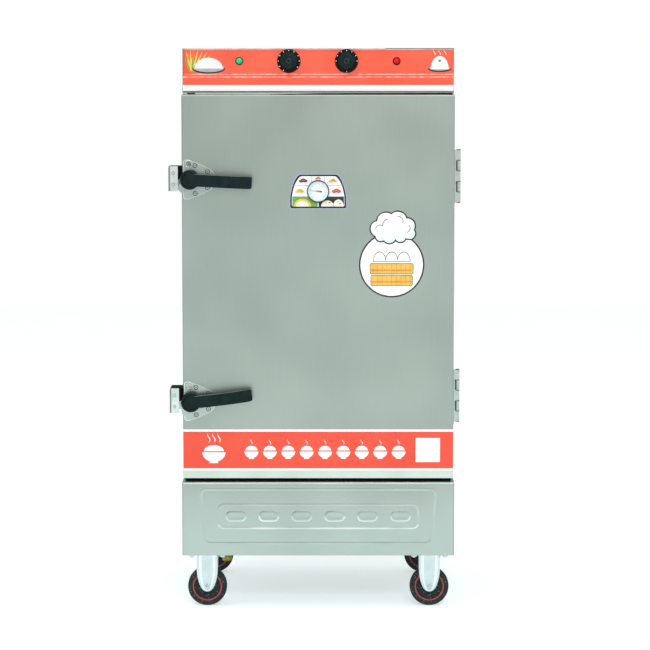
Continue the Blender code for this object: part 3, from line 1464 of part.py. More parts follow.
def cam_back():
    return SEAT_GAP + PLATE_DISH_HEIGHT + RUNNING_GAP


def lever_back():
    return cam_back() + CAM_THICKNESS + RUNNING_GAP


def make_latch_cam():
    """A disc with a lobe at its lower left, drawn as it lies at the upper latch's rest tilt."""
    reach = LATCH_INSET + KEEPER_REACH - KEEPER_LIP - CAM_CLEARANCE
    lobe = [
        (-reach, -CAM_LOBE_TOP),
        (-reach, -CAM_LOBE_BOTTOM),
        (CAM_TOE_IN - reach, -CAM_LOBE_TOE),
        (CAM_TOE_IN * 2 - reach, -CAM_LOBE_TOE),
    ]
    outline = [*arc((0, 0), CAM_RADIUS, -125, 160, 18), *lobe]
    cam = flat_piece([outline], cam_back(), cam_back() + CAM_THICKNESS)
    cam.data.transform(Matrix.Rotation(LATCH_TILTS["upper"], 4, "Y"))
    hole = bore(PIVOT_RADIUS + SEAT_GAP, 0, lever_back() + CUT_OVERRUN, (0, 0, 0), FRONT_VIEW, MIDDLE_STEPS)
    return cut(cam, hole).data


def lever_plan():
    def real(shares):
        return [(along * LEVER_LENGTH, -out * LEVER_REACH) for along, out in shares]

    outer = smooth_line(real(LEVER_OUTER_SHARES), 2)
    inner = smooth_line(real(LEVER_INNER_SHARES), 2)
    return [*outer, *real(LEVER_TIP_SHARES), *inner]


def make_latch_lever():
    """Its plan is cut by its front outline, so that the arched bar ends in a rounded tip."""
    bar = flat_piece([lever_plan()], -LEVER_HEIGHT, LEVER_HEIGHT, PLAN_VIEW)
    half, tip = LEVER_HEIGHT / 2, LEVER_TIP_HEIGHT / 2
    upper = [(-half, half), (LEVER_LENGTH - 2 * tip, half)]
    front = [*upper, *arc((LEVER_LENGTH - tip, 0), tip, 75, -75, 6), *[(x, -z) for x, z in reversed(upper)]]
    trim(bar, flat_piece([front], -LEVER_REACH, 2 * LEVER_REACH))
    bevel(bar, LEVER_EDGE, 1, math.radians(60))
    back, cap = lever_back(), lever_back() + BOSS_DEPTH
    boss = turned(
        (
            (0, cap + BOSS_CAP_RISE),
            (BOSS_CAP_RADIUS - BOSS_CAP_RISE, cap + BOSS_CAP_RISE),
            (BOSS_CAP_RADIUS, cap),
            (BOSS_RADIUS - LEVER_EDGE, cap),
            (BOSS_RADIUS, cap - LEVER_EDGE),
            (BOSS_RADIUS, back),
            (0, back),
        ),
        (0, 0, 0),
        FRONT_VIEW,
    )
    end = back + BOSS_DEPTH * 3 / 4 + SEAT_GAP
    hole = bore(PIVOT_RADIUS + SEAT_GAP, 0, end, (0, 0, 0), FRONT_VIEW, MIDDLE_STEPS)
    return cut(join(boss, bar), hole).data


# Keepers: a steel strip bent into a C, with a black stop pad in it

KEEPER_HEIGHT = 0.064
KEEPER_RAISE = 0.0025  # its middle above the latch's pivot
KEEPER_SHEET = 0.002
KEEPER_FRONT = 0.071  # its lip's face before the front frame
KEEPER_LIP = 0.024
KEEPER_BACK = 0.010  # its web behind the front frame
KEEPER_FOOT = 0.034
PAD_CLEARANCE = 0.0015  # between the pad and the door's side
PAD_HEIGHT = 0.0335
PAD_RAISE = 0.001  # its underside above the latch's pivot
PAD_BACK = 0.010
KEEPER_SCREW_SHARES = (0.22, -0.23)  # of KEEPER_HEIGHT, from its middle


def make_keeper():
    """Modelled with the latch's pivot level at Z = 0 and X = 0 at the case's left side.

    The pad ends just behind the cam, which swings in front of it to reach behind the lip.
    """
    low = KEEPER_RAISE - KEEPER_HEIGHT / 2
    high = KEEPER_RAISE + KEEPER_HEIGHT / 2
    face = -SEAT_GAP - KEEPER_SHEET
    path = [
        (KEEPER_LIP - KEEPER_REACH, -KEEPER_FRONT),
        (-KEEPER_REACH, -KEEPER_FRONT),
        (-KEEPER_REACH, KEEPER_BACK),
        (face, KEEPER_BACK),
        (face, KEEPER_BACK + KEEPER_FOOT),
    ]
    strip = folded_sheet(path, low, high, KEEPER_SHEET, PLAN_VIEW, 1)
    pad = box(
        (KEEPER_SHEET / 2 - KEEPER_REACH, DOOR_FACE - cam_back() + RUNNING_GAP, PAD_RAISE),
        (-PAD_CLEARANCE, -PAD_BACK, PAD_RAISE + PAD_HEIGHT),
    )
    heads = []
    for share in KEEPER_SCREW_SHARES:
        centre = (KEEPER_LIP / 2 - KEEPER_REACH, -KEEPER_FRONT, KEEPER_RAISE + share * KEEPER_HEIGHT)
        heads.append(turned(
            (
                (0, SCREW_HEAD_HEIGHT),
                (SCREW_HEAD_RADIUS * 3 / 4, SCREW_HEAD_HEIGHT / 3),
                (SCREW_HEAD_RADIUS * 3 / 4, -KEEPER_SHEET / 2),
                (0, -KEEPER_SHEET / 2),
            ),
            centre,
            FRONT_VIEW,
            SMALL_STEPS,
        ))
    return join(strip, pad, gathered(heads)).data


def make_latches(hinge):
    base, cam, lever, keeper = make_latch_base(), make_latch_cam(), make_latch_lever(), make_keeper()
    for name, level in LATCH_HEIGHTS.items():
        pivot = (LATCH_X, DOOR_FACE, level)
        copy_piece(f"latch_base_{name}", base, "polished_steel", pivot, 0, hinge)
        copy_piece(f"latch_cam_{name}", cam, "zinc_plate", pivot, LATCH_TILTS[name], hinge)
        copy_piece(f"latch_lever_{name}", lever, "black_plastic", pivot, LATCH_TILTS[name], hinge)
        copy_piece(f"keeper_{name}", keeper, "polished_steel", (-CASE_SIDE, 0, level))


# Casters: rigid at the front, swivelling at the rear, all four rolling sideways

WHEEL_WIDTH = 0.032
WHEEL_STEPS = 20
WHEEL_HUB_RADIUS = 0.014
WHEEL_HUB_PROUD = 0.0005  # the hub's face beyond the tread
WHEEL_DISH = 0.006  # how far the web lies behind the tread's face
WHEEL_RIM_RADIUS = 0.041
WHEEL_SHOULDER = 0.005
WHEEL_SIDE_INSET = 0.059  # from the casing's side to a wheel's middle
FRONT_WHEEL_SETBACK = 0.054  # from the base frame's front to a front wheel's axle
REAR_WHEEL_INSET = 0.080  # from the casing's back to a rear swivel's axis
SWIVEL_TRAIL = 0.032
AXLE_RADIUS = 0.005
AXLE_HEAD_RADIUS = 0.008
AXLE_HEAD_THICKNESS = 0.004
FORK_SHEET = 0.0025
FORK_TIP_RADIUS = 0.0136
FORK_TOP_WIDTH = 0.055
FORK_CLEARANCE = 0.0015  # between a hub's face and the fork
FORK_RIB_WIDTH = 0.010
FORK_RIB_RELIEF = 0.0015
MOUNT_WIDTH = 0.105
MOUNT_DEPTH = 0.085
MOUNT_SHEET = 0.004
MOUNT_CORNER = 0.010
BOLT_INSET = 0.012
NUT_RADIUS = 0.0075
NUT_HEIGHT = 0.006
RACE_RADIUS = 0.029
RACE_HEIGHT = 0.006
CROWN_RADIUS = 0.027
CROWN_THICKNESS = 0.006
KING_PIN_RADIUS = 0.006
KING_NUT_RADIUS = 0.010

WHEEL_PLACE_X = CASE_SIDE - WHEEL_SIDE_INSET
FRONT_WHEEL_Y = FRAME_FRONT + FRONT_WHEEL_SETBACK
REAR_WHEEL_Y = CASE_DEPTH - REAR_WHEEL_INSET
AXLE_LEVEL = WHEEL_DIAMETER / 2
MOUNT_TOP = BASE_UNDERSIDE - SEAT_GAP
MOUNT_BOTTOM = MOUNT_TOP - MOUNT_SHEET
LEG_INNER = WHEEL_WIDTH / 2 + WHEEL_HUB_PROUD + FORK_CLEARANCE
LEG_OUTER = LEG_INNER + FORK_SHEET


def make_wheel():
    """Modelled round its axle. One flat of the tread faces the floor."""
    half = WHEEL_WIDTH / 2
    hub = half + WHEEL_HUB_PROUD
    web = half - WHEEL_DISH
    apothem = math.cos(math.pi / WHEEL_STEPS)
    tread = WHEEL_DIAMETER / 2 / apothem
    hole = (AXLE_RADIUS + SEAT_GAP) / apothem
    right = [
        (hole, hub),
        (WHEEL_HUB_RADIUS, hub),
        (WHEEL_HUB_RADIUS + WHEEL_DISH / 3, web),
        (WHEEL_RIM_RADIUS, web),
        (WHEEL_RIM_RADIUS, half),
        (tread - WHEEL_SHOULDER, half),
        (tread, half - WHEEL_SHOULDER),
    ]
    profile = [*right, *[(radius, -height) for radius, height in reversed(right)]]
    return turned(profile, (0, 0, 0), FRONT_VIEW, WHEEL_STEPS, math.pi / WHEEL_STEPS).data


def fork_legs(top, left, right, axle_x):
    """Two plates from their top edge down to a rounded tip round the axle, with a pressed rib on each."""
    tip = arc((axle_x, AXLE_LEVEL), FORK_TIP_RADIUS, 10, -190, 6)
    legs, ribs = [], []
    rib_bottom = AXLE_LEVEL + AXLE_HEAD_RADIUS + FORK_RIB_WIDTH / 2
    rib_top = top - FORK_RIB_WIDTH
    rib_x = axle_x + ((left + right) / 2 - axle_x) / 2
    rib_left, rib_right = rib_x - FORK_RIB_WIDTH / 2, rib_x + FORK_RIB_WIDTH / 2
    rib = [(rib_left, rib_bottom), (rib_right, rib_bottom), (rib_right, rib_top), (rib_left, rib_top)]
    for side in (1, -1):
        near, far = sorted((side * LEG_INNER, side * LEG_OUTER))
        legs.append(flat_piece([[(left, top), (right, top), *tip]], near, far))
        near, far = sorted((side * (LEG_OUTER - FORK_SHEET / 2), side * (LEG_OUTER + FORK_RIB_RELIEF)))
        ribs.append(flat_piece([rib], near, far))
    return [gathered(legs), gathered(ribs)]


def axle_pin(axle_x):
    end = LEG_OUTER + AXLE_HEAD_THICKNESS
    return turned(
        (
            (0, end),
            (AXLE_HEAD_RADIUS, end),
            (AXLE_HEAD_RADIUS, LEG_OUTER - FORK_SHEET / 2),
            (AXLE_RADIUS, LEG_OUTER - FORK_SHEET / 2),
            (AXLE_RADIUS, FORK_SHEET / 2 - LEG_OUTER),
            (AXLE_HEAD_RADIUS, FORK_SHEET / 2 - LEG_OUTER),
            (AXLE_HEAD_RADIUS, -end),
            (0, -end),
        ),
        (axle_x, 0, AXLE_LEVEL),
        FRONT_VIEW,
        SMALL_STEPS,
    )


def mount_plate():
    """The plate and the four nuts under it, round the middle of the caster."""
    outline = rounded_rectangle((0, 0), MOUNT_WIDTH, MOUNT_DEPTH, MOUNT_CORNER, 2)
    plate = flat_piece([outline], MOUNT_BOTTOM, MOUNT_TOP, PLAN_VIEW)
    nuts = [
        disc(
            NUT_RADIUS,
            MOUNT_BOTTOM - NUT_HEIGHT,
            MOUNT_TOP - MOUNT_SHEET / 2,
            (across * (MOUNT_WIDTH / 2 - BOLT_INSET), deep * (MOUNT_DEPTH / 2 - BOLT_INSET), 0),
            steps=6,
        )
        for across in (1, -1)
        for deep in (1, -1)
    ]
    return join(plate, gathered(nuts))


def make_casters():
    wheel = make_wheel()
    rigid = mount_plate()
    legs = fork_legs(MOUNT_TOP - MOUNT_SHEET / 2, -FORK_TOP_WIDTH / 2, FORK_TOP_WIDTH / 2, 0)
    rigid = join(rigid, *legs, axle_pin(0)).data

    king_bottom = MOUNT_BOTTOM - RACE_HEIGHT - 2 * SEAT_GAP - CROWN_THICKNESS - SEAT_GAP
    race_bottom = MOUNT_BOTTOM - RACE_HEIGHT
    race = turned(
        (
            (0, MOUNT_TOP - MOUNT_SHEET / 2),
            (RACE_RADIUS - RACE_HEIGHT / 2, MOUNT_TOP - MOUNT_SHEET / 2),
            (RACE_RADIUS, race_bottom + RACE_HEIGHT / 2),
            (RACE_RADIUS, race_bottom),
            (KING_PIN_RADIUS, race_bottom),
            (KING_PIN_RADIUS, king_bottom),
            (KING_NUT_RADIUS, king_bottom),
            (KING_NUT_RADIUS, king_bottom - NUT_HEIGHT),
            (0, king_bottom - NUT_HEIGHT),
        ),
        (0, 0, 0),
        steps=MIDDLE_STEPS,
    )
    swivel_plate = join(mount_plate(), race).data

    crown_top = race_bottom - SEAT_GAP
    crown_bottom = king_bottom + SEAT_GAP
    king_hole = (KING_PIN_RADIUS + SEAT_GAP) / math.cos(math.pi / MIDDLE_STEPS)
    forks = {}
    for side, out in (("left", -1), ("right", 1)):
        crown = turned(
            (
                (king_hole, crown_top),
                (CROWN_RADIUS, crown_top),
                (CROWN_RADIUS, crown_bottom),
                (king_hole, crown_bottom),
            ),
            (0, 0, 0),
            steps=MIDDLE_STEPS,
        )
        edges = sorted((out * -CROWN_RADIUS * 2 / 3, out * CROWN_RADIUS))
        legs = fork_legs(crown_top - CROWN_THICKNESS / 6, *edges, out * SWIVEL_TRAIL)
        forks[side] = join(crown, *legs, axle_pin(out * SWIVEL_TRAIL)).data

    for side, out in (("left", -1), ("right", 1)):
        front = (out * WHEEL_PLACE_X, FRONT_WHEEL_Y, 0)
        copy_piece(f"caster_fork_front_{side}", rigid, "zinc_plate", front)
        axle = joint_empty(f"front_{side}_axle", (front[0], front[1], AXLE_LEVEL))
        copy_piece(f"wheel_front_{side}", wheel, "black_rubber", axle.location, 0, axle)
        swivel_x = out * (WHEEL_PLACE_X - SWIVEL_TRAIL)
        rear = (swivel_x, REAR_WHEEL_Y, 0)
        copy_piece(f"caster_plate_rear_{side}", swivel_plate, "zinc_plate", rear)
        swivel = joint_empty(f"rear_{side}_swivel", rear)
        copy_piece(f"caster_fork_rear_{side}", forks[side], "zinc_plate", rear, 0, swivel)
        rear_axle = (out * WHEEL_PLACE_X, rear[1], AXLE_LEVEL)
        copy_piece(f"wheel_rear_{side}", wheel, "black_rubber", rear_axle, 0, swivel)


def build():
    make_base_frame()
    make_skirt_panel()
    make_casters()
    make_outer_casing()
    make_top_cover()
    make_control_panel()
    make_lamps()
    make_control_body("thermostat", KNOB_PLACES["left"], THERMOSTAT_DEPTH)
    make_control_body("timer", KNOB_PLACES["right"], TIMER_DEPTH)
    make_knobs()
    make_control_shelf()
    make_front_frame()
    make_inner_liner()
    make_wall_insulation()
    make_racks()
    make_trays()
    make_heater_unit()
    make_float_valve()
    make_float_arm()
    make_drain_valve()
    make_drain_lever()
    hinge = joint_empty("door_hinge", HINGE_AXIS)
    make_door(hinge)
    make_thermometer(hinge)
    make_hinges(hinge)
    make_latches(hinge)
    for helper in CUTTERS.objects:
        helper.parent = CABINET


build()
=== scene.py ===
# %% [markdown]
# # Dressing a rice steamer cabinet
# A rice steamer cabinet is a tall steel cupboard on casters. Water boils in a tank under ten trays of rice.
# The solid model comes in as a fixed frame. This script adds the looks: finer shapes, finishes and light.
# It works in metres, with the door towards -Y and the floor at Z = 0.

# %% Load the frame
import math

import bmesh
import bpy
from mathutils import Matrix, Vector


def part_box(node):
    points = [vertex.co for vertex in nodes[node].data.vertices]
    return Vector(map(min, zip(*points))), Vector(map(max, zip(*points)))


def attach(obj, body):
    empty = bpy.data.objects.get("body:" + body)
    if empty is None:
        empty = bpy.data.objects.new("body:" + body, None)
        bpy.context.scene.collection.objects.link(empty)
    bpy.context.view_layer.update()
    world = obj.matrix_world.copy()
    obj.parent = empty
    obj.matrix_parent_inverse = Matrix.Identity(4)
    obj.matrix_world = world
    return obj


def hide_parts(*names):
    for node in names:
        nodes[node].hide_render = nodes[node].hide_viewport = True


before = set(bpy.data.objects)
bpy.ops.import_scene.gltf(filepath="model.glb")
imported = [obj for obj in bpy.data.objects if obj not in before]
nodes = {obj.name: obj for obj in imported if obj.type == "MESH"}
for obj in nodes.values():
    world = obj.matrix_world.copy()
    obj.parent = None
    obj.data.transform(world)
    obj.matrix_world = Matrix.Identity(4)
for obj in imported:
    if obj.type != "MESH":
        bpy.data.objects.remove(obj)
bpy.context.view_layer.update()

# %% [markdown]
# ## Where things are
# Places come from the solid pieces' own boxes, so that nothing has to be fitted by eye.
# The door's box gives the middle of the front and the face that most details lie on.


# %% Measure the front
def middle(node, **moved):
    """The middle of a node's box. Any coordinate can be moved to another level, such as y=DOOR_Y."""
    low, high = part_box(node)
    spot = (low + high) / 2
    for axis, level in moved.items():
        setattr(spot, axis, level)
    return spot


door_low, door_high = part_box("door_outer_skin")
MIDDLE_X = middle("door_outer_skin").x
DOOR_Y = door_low.y
print(f"door face at Y {DOOR_Y:.4f}, middle at X {MIDDLE_X:.4f}")

# %% [markdown]
# ## The camera
# The photograph is nearly flat and its side walls don't show, so the lens is long and stands far away.
# It stands at the height where the cabinet's level edges would look straight, just under the top.
# A focal length in pixels becomes millimetres by the share of the sensor that one pixel takes.

# %% Place the camera
PHOTO_PIXELS = 650
FOCAL_PIXELS = 2442
SENSOR_MM = 36.0
CAMERA_X = 0.025
CAMERA_HEIGHT = 1.33
CAMERA_DISTANCE = 6.25  # in front of the door's face
CAMERA_PITCH = math.radians(5.38)

camera_data = bpy.data.cameras.new("photo_camera")
camera_data.sensor_width = SENSOR_MM
camera_data.lens = FOCAL_PIXELS / PHOTO_PIXELS * SENSOR_MM
camera_data.clip_end = 40.0
camera = bpy.data.objects.new("photo_camera", camera_data)
camera.location = (CAMERA_X, DOOR_Y - CAMERA_DISTANCE, CAMERA_HEIGHT)
camera.rotation_euler = (math.pi / 2 - CAMERA_PITCH, 0, 0)
bpy.context.scene.collection.objects.link(camera)
bpy.context.scene.camera = camera
print(f"lens {camera_data.lens:.1f} mm")

# %% [markdown]
# ## Helpers for materials
# Colours are easiest to pick as sRGB hex values, but shader sockets want linear light.
# One function does that conversion. Another sets a node's inputs, and a third adds a node with its
# settings and inputs, which keeps each material short enough to read as a recipe.


# %% Colour and node helpers
def linear(code):
    """An sRGB hex colour as linear red, green, blue and an alpha of 1."""
    shares = [int(code[i:i + 2], 16) / 255 for i in (1, 3, 5)]
    return (*[s / 12.92 if s <= 0.04045 else ((s + 0.055) / 1.055) ** 2.4 for s in shares], 1.0)


def feed(node, inputs):
    """Sets a node's inputs. Each gets a plain value, or a node or output socket that feeds it."""
    for name, value in inputs.items():
        if isinstance(value, bpy.types.Node):
            value = value.outputs[0]
        if isinstance(value, bpy.types.NodeSocket):
            node.id_data.links.new(value, node.inputs[name])
        else:
            node.inputs[name].default_value = value


def add(tree, kind, inputs=None, **settings):
    """Adds a node with its settings and inputs."""
    made = tree.nodes.new(f"ShaderNode{kind}")
    for name, value in settings.items():
        setattr(made, name, value)
    feed(made, inputs or {})
    return made


# %% [markdown]
# ## Start of a material
# The Principled shader holds what is alike all over a finish. What varies is linked to it afterwards:
# the colour, the roughness and a bump. Object coordinates are in metres, so features of `size` mm
# need a texture scale of 1000 / size.


# %% Material helpers
def start_material(name, roughness, metallic=0.0, **sockets):
    """A new material: gives it, its node tree and its Principled shader."""
    made = bpy.data.materials.new(name)
    made.use_nodes = True
    shader = made.node_tree.nodes["Principled BSDF"]
    named = {socket.replace("_", " "): value for socket, value in sockets.items()}
    feed(shader, {"Roughness": roughness, "Metallic": metallic, **named})
    return made, made.node_tree, shader


def weathered(name, dark, light, rough, smooth, cloud_mm, grain_mm, stretch, bump_mm, metallic=0.0, **sockets):
    """A finish with soft clouds of colour, and a finer grain that also changes roughness and height."""
    made, tree, shader = start_material(name, smooth, metallic, **sockets)
    place = add(tree, "TexCoord").outputs["Object"]
    clouds = add(tree, "TexNoise", {"Vector": place, "Scale": 1000 / cloud_mm, "Detail": 2.0})
    drawn = add(tree, "Mapping", {"Vector": place, "Scale": [1000 / grain_mm / share for share in stretch]})
    grain = add(tree, "TexNoise", {"Vector": drawn, "Scale": 1.0, "Detail": 4.0})
    shade = add(tree, "MapRange", {"Value": clouds, "From Min": 0.35, "From Max": 0.65, "To Min": 0.15,
                                   "To Max": 0.85})
    fleck = add(tree, "Math", {0: grain, 1: 0.7, 2: -0.35}, operation="MULTIPLY_ADD")
    both = add(tree, "Math", {0: shade, 1: fleck}, operation="ADD", use_clamp=True)
    colour = add(tree, "MixRGB", {"Fac": both, "Color1": linear(dark), "Color2": linear(light)})
    gloss = add(tree, "MapRange", {"Value": grain, "From Min": 0.3, "From Max": 0.7, "To Min": smooth,
                                   "To Max": rough})
    relief = add(tree, "Bump", {"Height": grain, "Distance": bump_mm / 1000, "Strength": 1.0})
    feed(shader, {"Base Color": colour, "Roughness": gloss, "Normal": relief})
    return made


# %% [markdown]
# ## Stainless steel and other metals
# The cabinet is 304 stainless sheet, ground along its height. It mirrors a blurred white room, so it
# looks like a flat grey-green. Rolling leaves clouds of about 240 mm. Grinding leaves scratches 0.1 mm
# wide, which are drawn 1.5 mm wide and 60 mm long here so that they show at all.
# Zinc plate is brighter and bluer, and galvanised sheet has crystals of about 14 mm.

# %% Make the metals
TALL, FLAT, EVEN = (1, 1, 40), (40, 1, 1), (1, 1, 1)


def metal(*recipe):
    return weathered(*recipe, metallic=1.0)


DOOR_STEEL = metal("ground_stainless_door", "#A6B1A9", "#B4BFB6", 0.42, 0.34, 260, 1.5, TALL, 0.003)
SKIRT_STEEL = metal("ground_stainless_skirt", "#B2BEB7", "#BDC9C2", 0.4, 0.32, 200, 1.5, FLAT, 0.003)
CASE_STEEL = metal("ground_stainless_casing", "#ACB7B1", "#B5C0BA", 0.42, 0.33, 260, 1.5, TALL, 0.003)
LINER_STEEL = metal("mill_stainless_liner", "#B4BBB7", "#C8CDCA", 0.34, 0.24, 180, 1.5, FLAT, 0.004)
# A brighter steel for the top cover, which is also the painted glints on the hinges
COVER_STEEL_AND_GLINT = metal("bright_stainless_cover_and_painted_glint", "#C4CFC8", "#CFDAD3", 0.4, 0.3, 90, 1.2, FLAT, 0.002)
# The foot strip's brighter steel, which is also a painted highlight along the door's top edge
FOOT_STEEL_AND_HIGHLIGHT = metal("bright_stainless_foot_and_painted_highlight", "#CED8CE", "#E2E8DF", 0.36, 0.28, 120, 1.2, FLAT, 0.002)
PLATE_STEEL = metal("pressed_stainless_plate", "#A9B5AE", "#C0CAC4", 0.34, 0.24, 70, 0.8, TALL, 0.003)
# The keepers' own bright steel, which is also the painted highlights on the latch plates
KEEPER_STEEL_AND_HIGHLIGHT = metal("bright_stainless_strip_and_painted_highlight", "#D3DDD5", "#EEF5F0", 0.38, 0.28, 26, 0.9, TALL, 0.002)
HINGE_STEEL = metal("dull_stainless_hinge", "#BFC9C1", "#CFD8D1", 0.42, 0.32, 16, 0.9, TALL, 0.003)
# Painted highlights on the skirt's ridges and along its top bend
RIDGE_HIGHLIGHT = metal("painted_highlight_ridge", "#C2D0CA", "#F2F8F5", 0.34, 0.26, 110, 1.2, FLAT, 0.002)
SOFT_RIDGE = metal("soft_stainless_ridge", "#B3BEB8", "#C4CEC9", 0.38, 0.3, 110, 1.2, FLAT, 0.002)
# Painted shade on the cover's edge, in the latch dishes, down the keepers' lips and in their screws
SHADED_STEEL = metal("shaded_stainless_edge", "#7C8884", "#96A29C", 0.44, 0.34, 40, 1.2, TALL, 0.002)
POLISHED = metal("polished_stainless_fittings", "#C3C8C6", "#DDE1DE", 0.26, 0.14, 30, 0.8, (1, 1, 6), 0.002)
ZINC = metal("bright_zinc_plate", "#CCD9DC", "#DEE9EB", 0.34, 0.22, 40, 1.2, EVEN, 0.004)
# Painted highlights for the sloping sides of the forks' ribs
ZINC_RIB_HIGHLIGHT = metal("painted_highlight_zinc_rib", "#E6F2F4", "#FAFFFF", 0.3, 0.2, 20, 1.2, EVEN, 0.002)
GALVANISED = metal("galvanised_steel", "#A8B0B1", "#CCD3D3", 0.5, 0.34, 14, 5.0, EVEN, 0.006)
HEATER_SHEATH = metal("oxidised_heater_sheath", "#565450", "#86827B", 0.52, 0.38, 20, 2.0, EVEN, 0.008)
BRASS = metal("machined_brass", "#6B6226", "#A99F4C", 0.36, 0.22, 8, 0.8, EVEN, 0.004)
print("materials, with the frame's own:", len(bpy.data.materials))

# %% [markdown]
# ## Plastics, rubber and printed film
# Printed vinyl film has an even colour and a slight gloss, with a faint orange peel of about 3 mm.
# Nylon handles are moulded with a fine spark-eroded grain of 0.4 mm, drawn 1 mm wide so that it shows.
# Two paler reds are painted highlights along the bends in the vinyl.

# %% Make the rest
FILM_RED = weathered("red_vinyl_film", "#F25341", "#F95E4A", 0.42, 0.34, 120, 3.0, EVEN, 0.004,
                     Specular_IOR_Level=0.3)
PANEL_RED = weathered("red_vinyl_on_panel", "#F85940", "#FD654D", 0.42, 0.34, 90, 3.0, EVEN, 0.004,
                      Specular_IOR_Level=0.3)
BEND_HIGHLIGHT = weathered("painted_highlight_red_vinyl", "#FA5F48", "#FFCABE", 0.4, 0.32, 15, 3.0, EVEN, 0.004)
EDGE_HIGHLIGHT = weathered("painted_highlight_pale_edge", "#FFC4B8", "#FFF6F4", 0.42, 0.34, 30, 3.0, EVEN, 0.004)
FILM_WHITE = weathered("white_vinyl_film", "#FAFAF8", "#FFFFFD", 0.42, 0.34, 120, 3.0, EVEN, 0.004)
BLACK_NYLON = weathered("moulded_black_nylon", "#0A1A1A", "#112525", 0.52, 0.4, 18, 1.0, EVEN, 0.02,
                        Specular_IOR_Level=0.16)
# Worn nylon, which is also the painted highlight along the handles' top edges
WORN_NYLON_AND_HIGHLIGHT = weathered("worn_nylon_and_painted_highlight", "#4A5A57", "#6E7F7B", 0.46, 0.34, 14, 1.0, EVEN, 0.01)
KNOB_BLACK = weathered("moulded_black_phenolic", "#0A1012", "#12191C", 0.46, 0.34, 12, 0.9, EVEN, 0.01,
                       Specular_IOR_Level=0.12)
# Painted shade for grooves, gaps and recesses
RECESS_SHADE = weathered("painted_recess_shade", "#0B0F0E", "#141A19", 0.75, 0.6, 8, 1.0, EVEN, 0.01,
                        Specular_IOR_Level=0.1)
SILICONE = weathered("white_silicone", "#DCDEDA", "#ECEDE9", 0.62, 0.5, 40, 2.0, EVEN, 0.02)
FOAM = weathered("rigid_polyurethane_foam", "#D9C98C", "#EBDDA6", 0.95, 0.8, 30, 3.0, EVEN, 0.4)
RED_POLYMER = weathered("red_wheel_ring", "#A03A3B", "#BE5556", 0.5, 0.36, 10, 1.0, EVEN, 0.01)
# Black rubber for the keepers' pads, which is also a black sheet of painted shadow under the door
RUBBER_PAD_AND_SHADOW = weathered("black_rubber_pad_and_painted_shadow", "#0A0D0C", "#151A18", 0.85, 0.7, 12, 1.2, EVEN, 0.03,
                       Specular_IOR_Level=0.12)
GREEN_LENS = weathered("green_polycarbonate_lens", "#0AC488", "#1AD698", 0.3, 0.18, 6, 1.0, EVEN, 0.004,
                       Specular_IOR_Level=0.3, Coat_Weight=0.1)
RED_LENS = weathered("red_polycarbonate_lens", "#BE0014", "#D8001E", 0.3, 0.18, 6, 1.0, EVEN, 0.004,
                     Specular_IOR_Level=0.3, Coat_Weight=0.1)
DIAL_WHITE = weathered("printed_dial", "#E6F2F1", "#F4FBFA", 0.4, 0.3, 20, 2.0, EVEN, 0.002)
print("materials, with the frame's own:", len(bpy.data.materials))

# %% [markdown]
# ## Speckled tyre rubber and printing inks
# The tread shows grey chips of 2 to 4 mm in black rubber. Voronoi cells have one random value each,
# so a threshold on that value picks out a few whole cells as chips.
# Inks on film are flat, so each one is only a slightly clouded colour.


# %% Tyre and inks
def speckled(name, base, chip, chip_mm, share):
    made, tree, shader = start_material(name, 0.72, Specular_IOR_Level=0.25)
    place = add(tree, "TexCoord").outputs["Object"]
    cells = add(tree, "TexVoronoi", {"Vector": place, "Scale": 1000 / chip_mm}, feature="F1")
    value = add(tree, "SeparateColor", {"Color": cells.outputs["Color"]})
    chosen = add(tree, "Math", {0: value, 1: 1 - share}, operation="GREATER_THAN")
    soft = add(tree, "TexNoise", {"Vector": place, "Scale": 1000 / 25, "Detail": 4.0})
    worn = add(tree, "MapRange", {"Value": soft, "To Min": 0.0, "To Max": 0.16})
    dusty = add(tree, "MixRGB", {"Fac": worn, "Color1": linear(base), "Color2": linear(chip)})
    colour = add(tree, "MixRGB", {"Fac": chosen, "Color1": dusty, "Color2": linear(chip)})
    relief = add(tree, "Bump", {"Height": cells.outputs["Distance"], "Distance": 0.0002, "Strength": 0.6})
    feed(shader, {"Base Color": colour, "Normal": relief})
    return made


TYRE = speckled("speckled_tyre_rubber", "#172020", "#7A8482", 2.0, 0.035)
inks = {"white": FILM_WHITE, "red": FILM_RED}
for ink_name, dark, light in (
    ("navy", "#141A44", "#1E2658"), ("lavender", "#C9CFEA", "#D8DCF2"), ("slate", "#707C9E", "#8A95B2"),
    ("cream", "#F6EEDC", "#FDF7EA"), ("straw", "#E8B64A", "#F2C863"), ("orange", "#E07F2C", "#EC9440"),
    ("brown", "#5C3A26", "#74492F"), ("leaf", "#5E9C33", "#78B548"), ("sky", "#CFE9EE", "#E2F4F6"),
    ("charcoal", "#26211F", "#352E2B"), ("tomato", "#CF3A2A", "#DF5040"), ("grey", "#9AA0A4", "#B2B7BA"),
    ("brick", "#8A3336", "#A24447"),
):
    inks[ink_name] = weathered(f"{ink_name}_print_ink", dark, light, 0.44, 0.36, 25, 2.0, EVEN, 0.002)
print("inks:", ", ".join(inks))

# %% [markdown]
# ## Floor, world and lamps
# The photograph has a white studio floor with very soft shadows. The world is plain grey light for
# surfaces, and white for the camera and for mirror reflections, by the Light Path node.
# Broad area lamps from the upper left, the right and the front keep the shading soft.


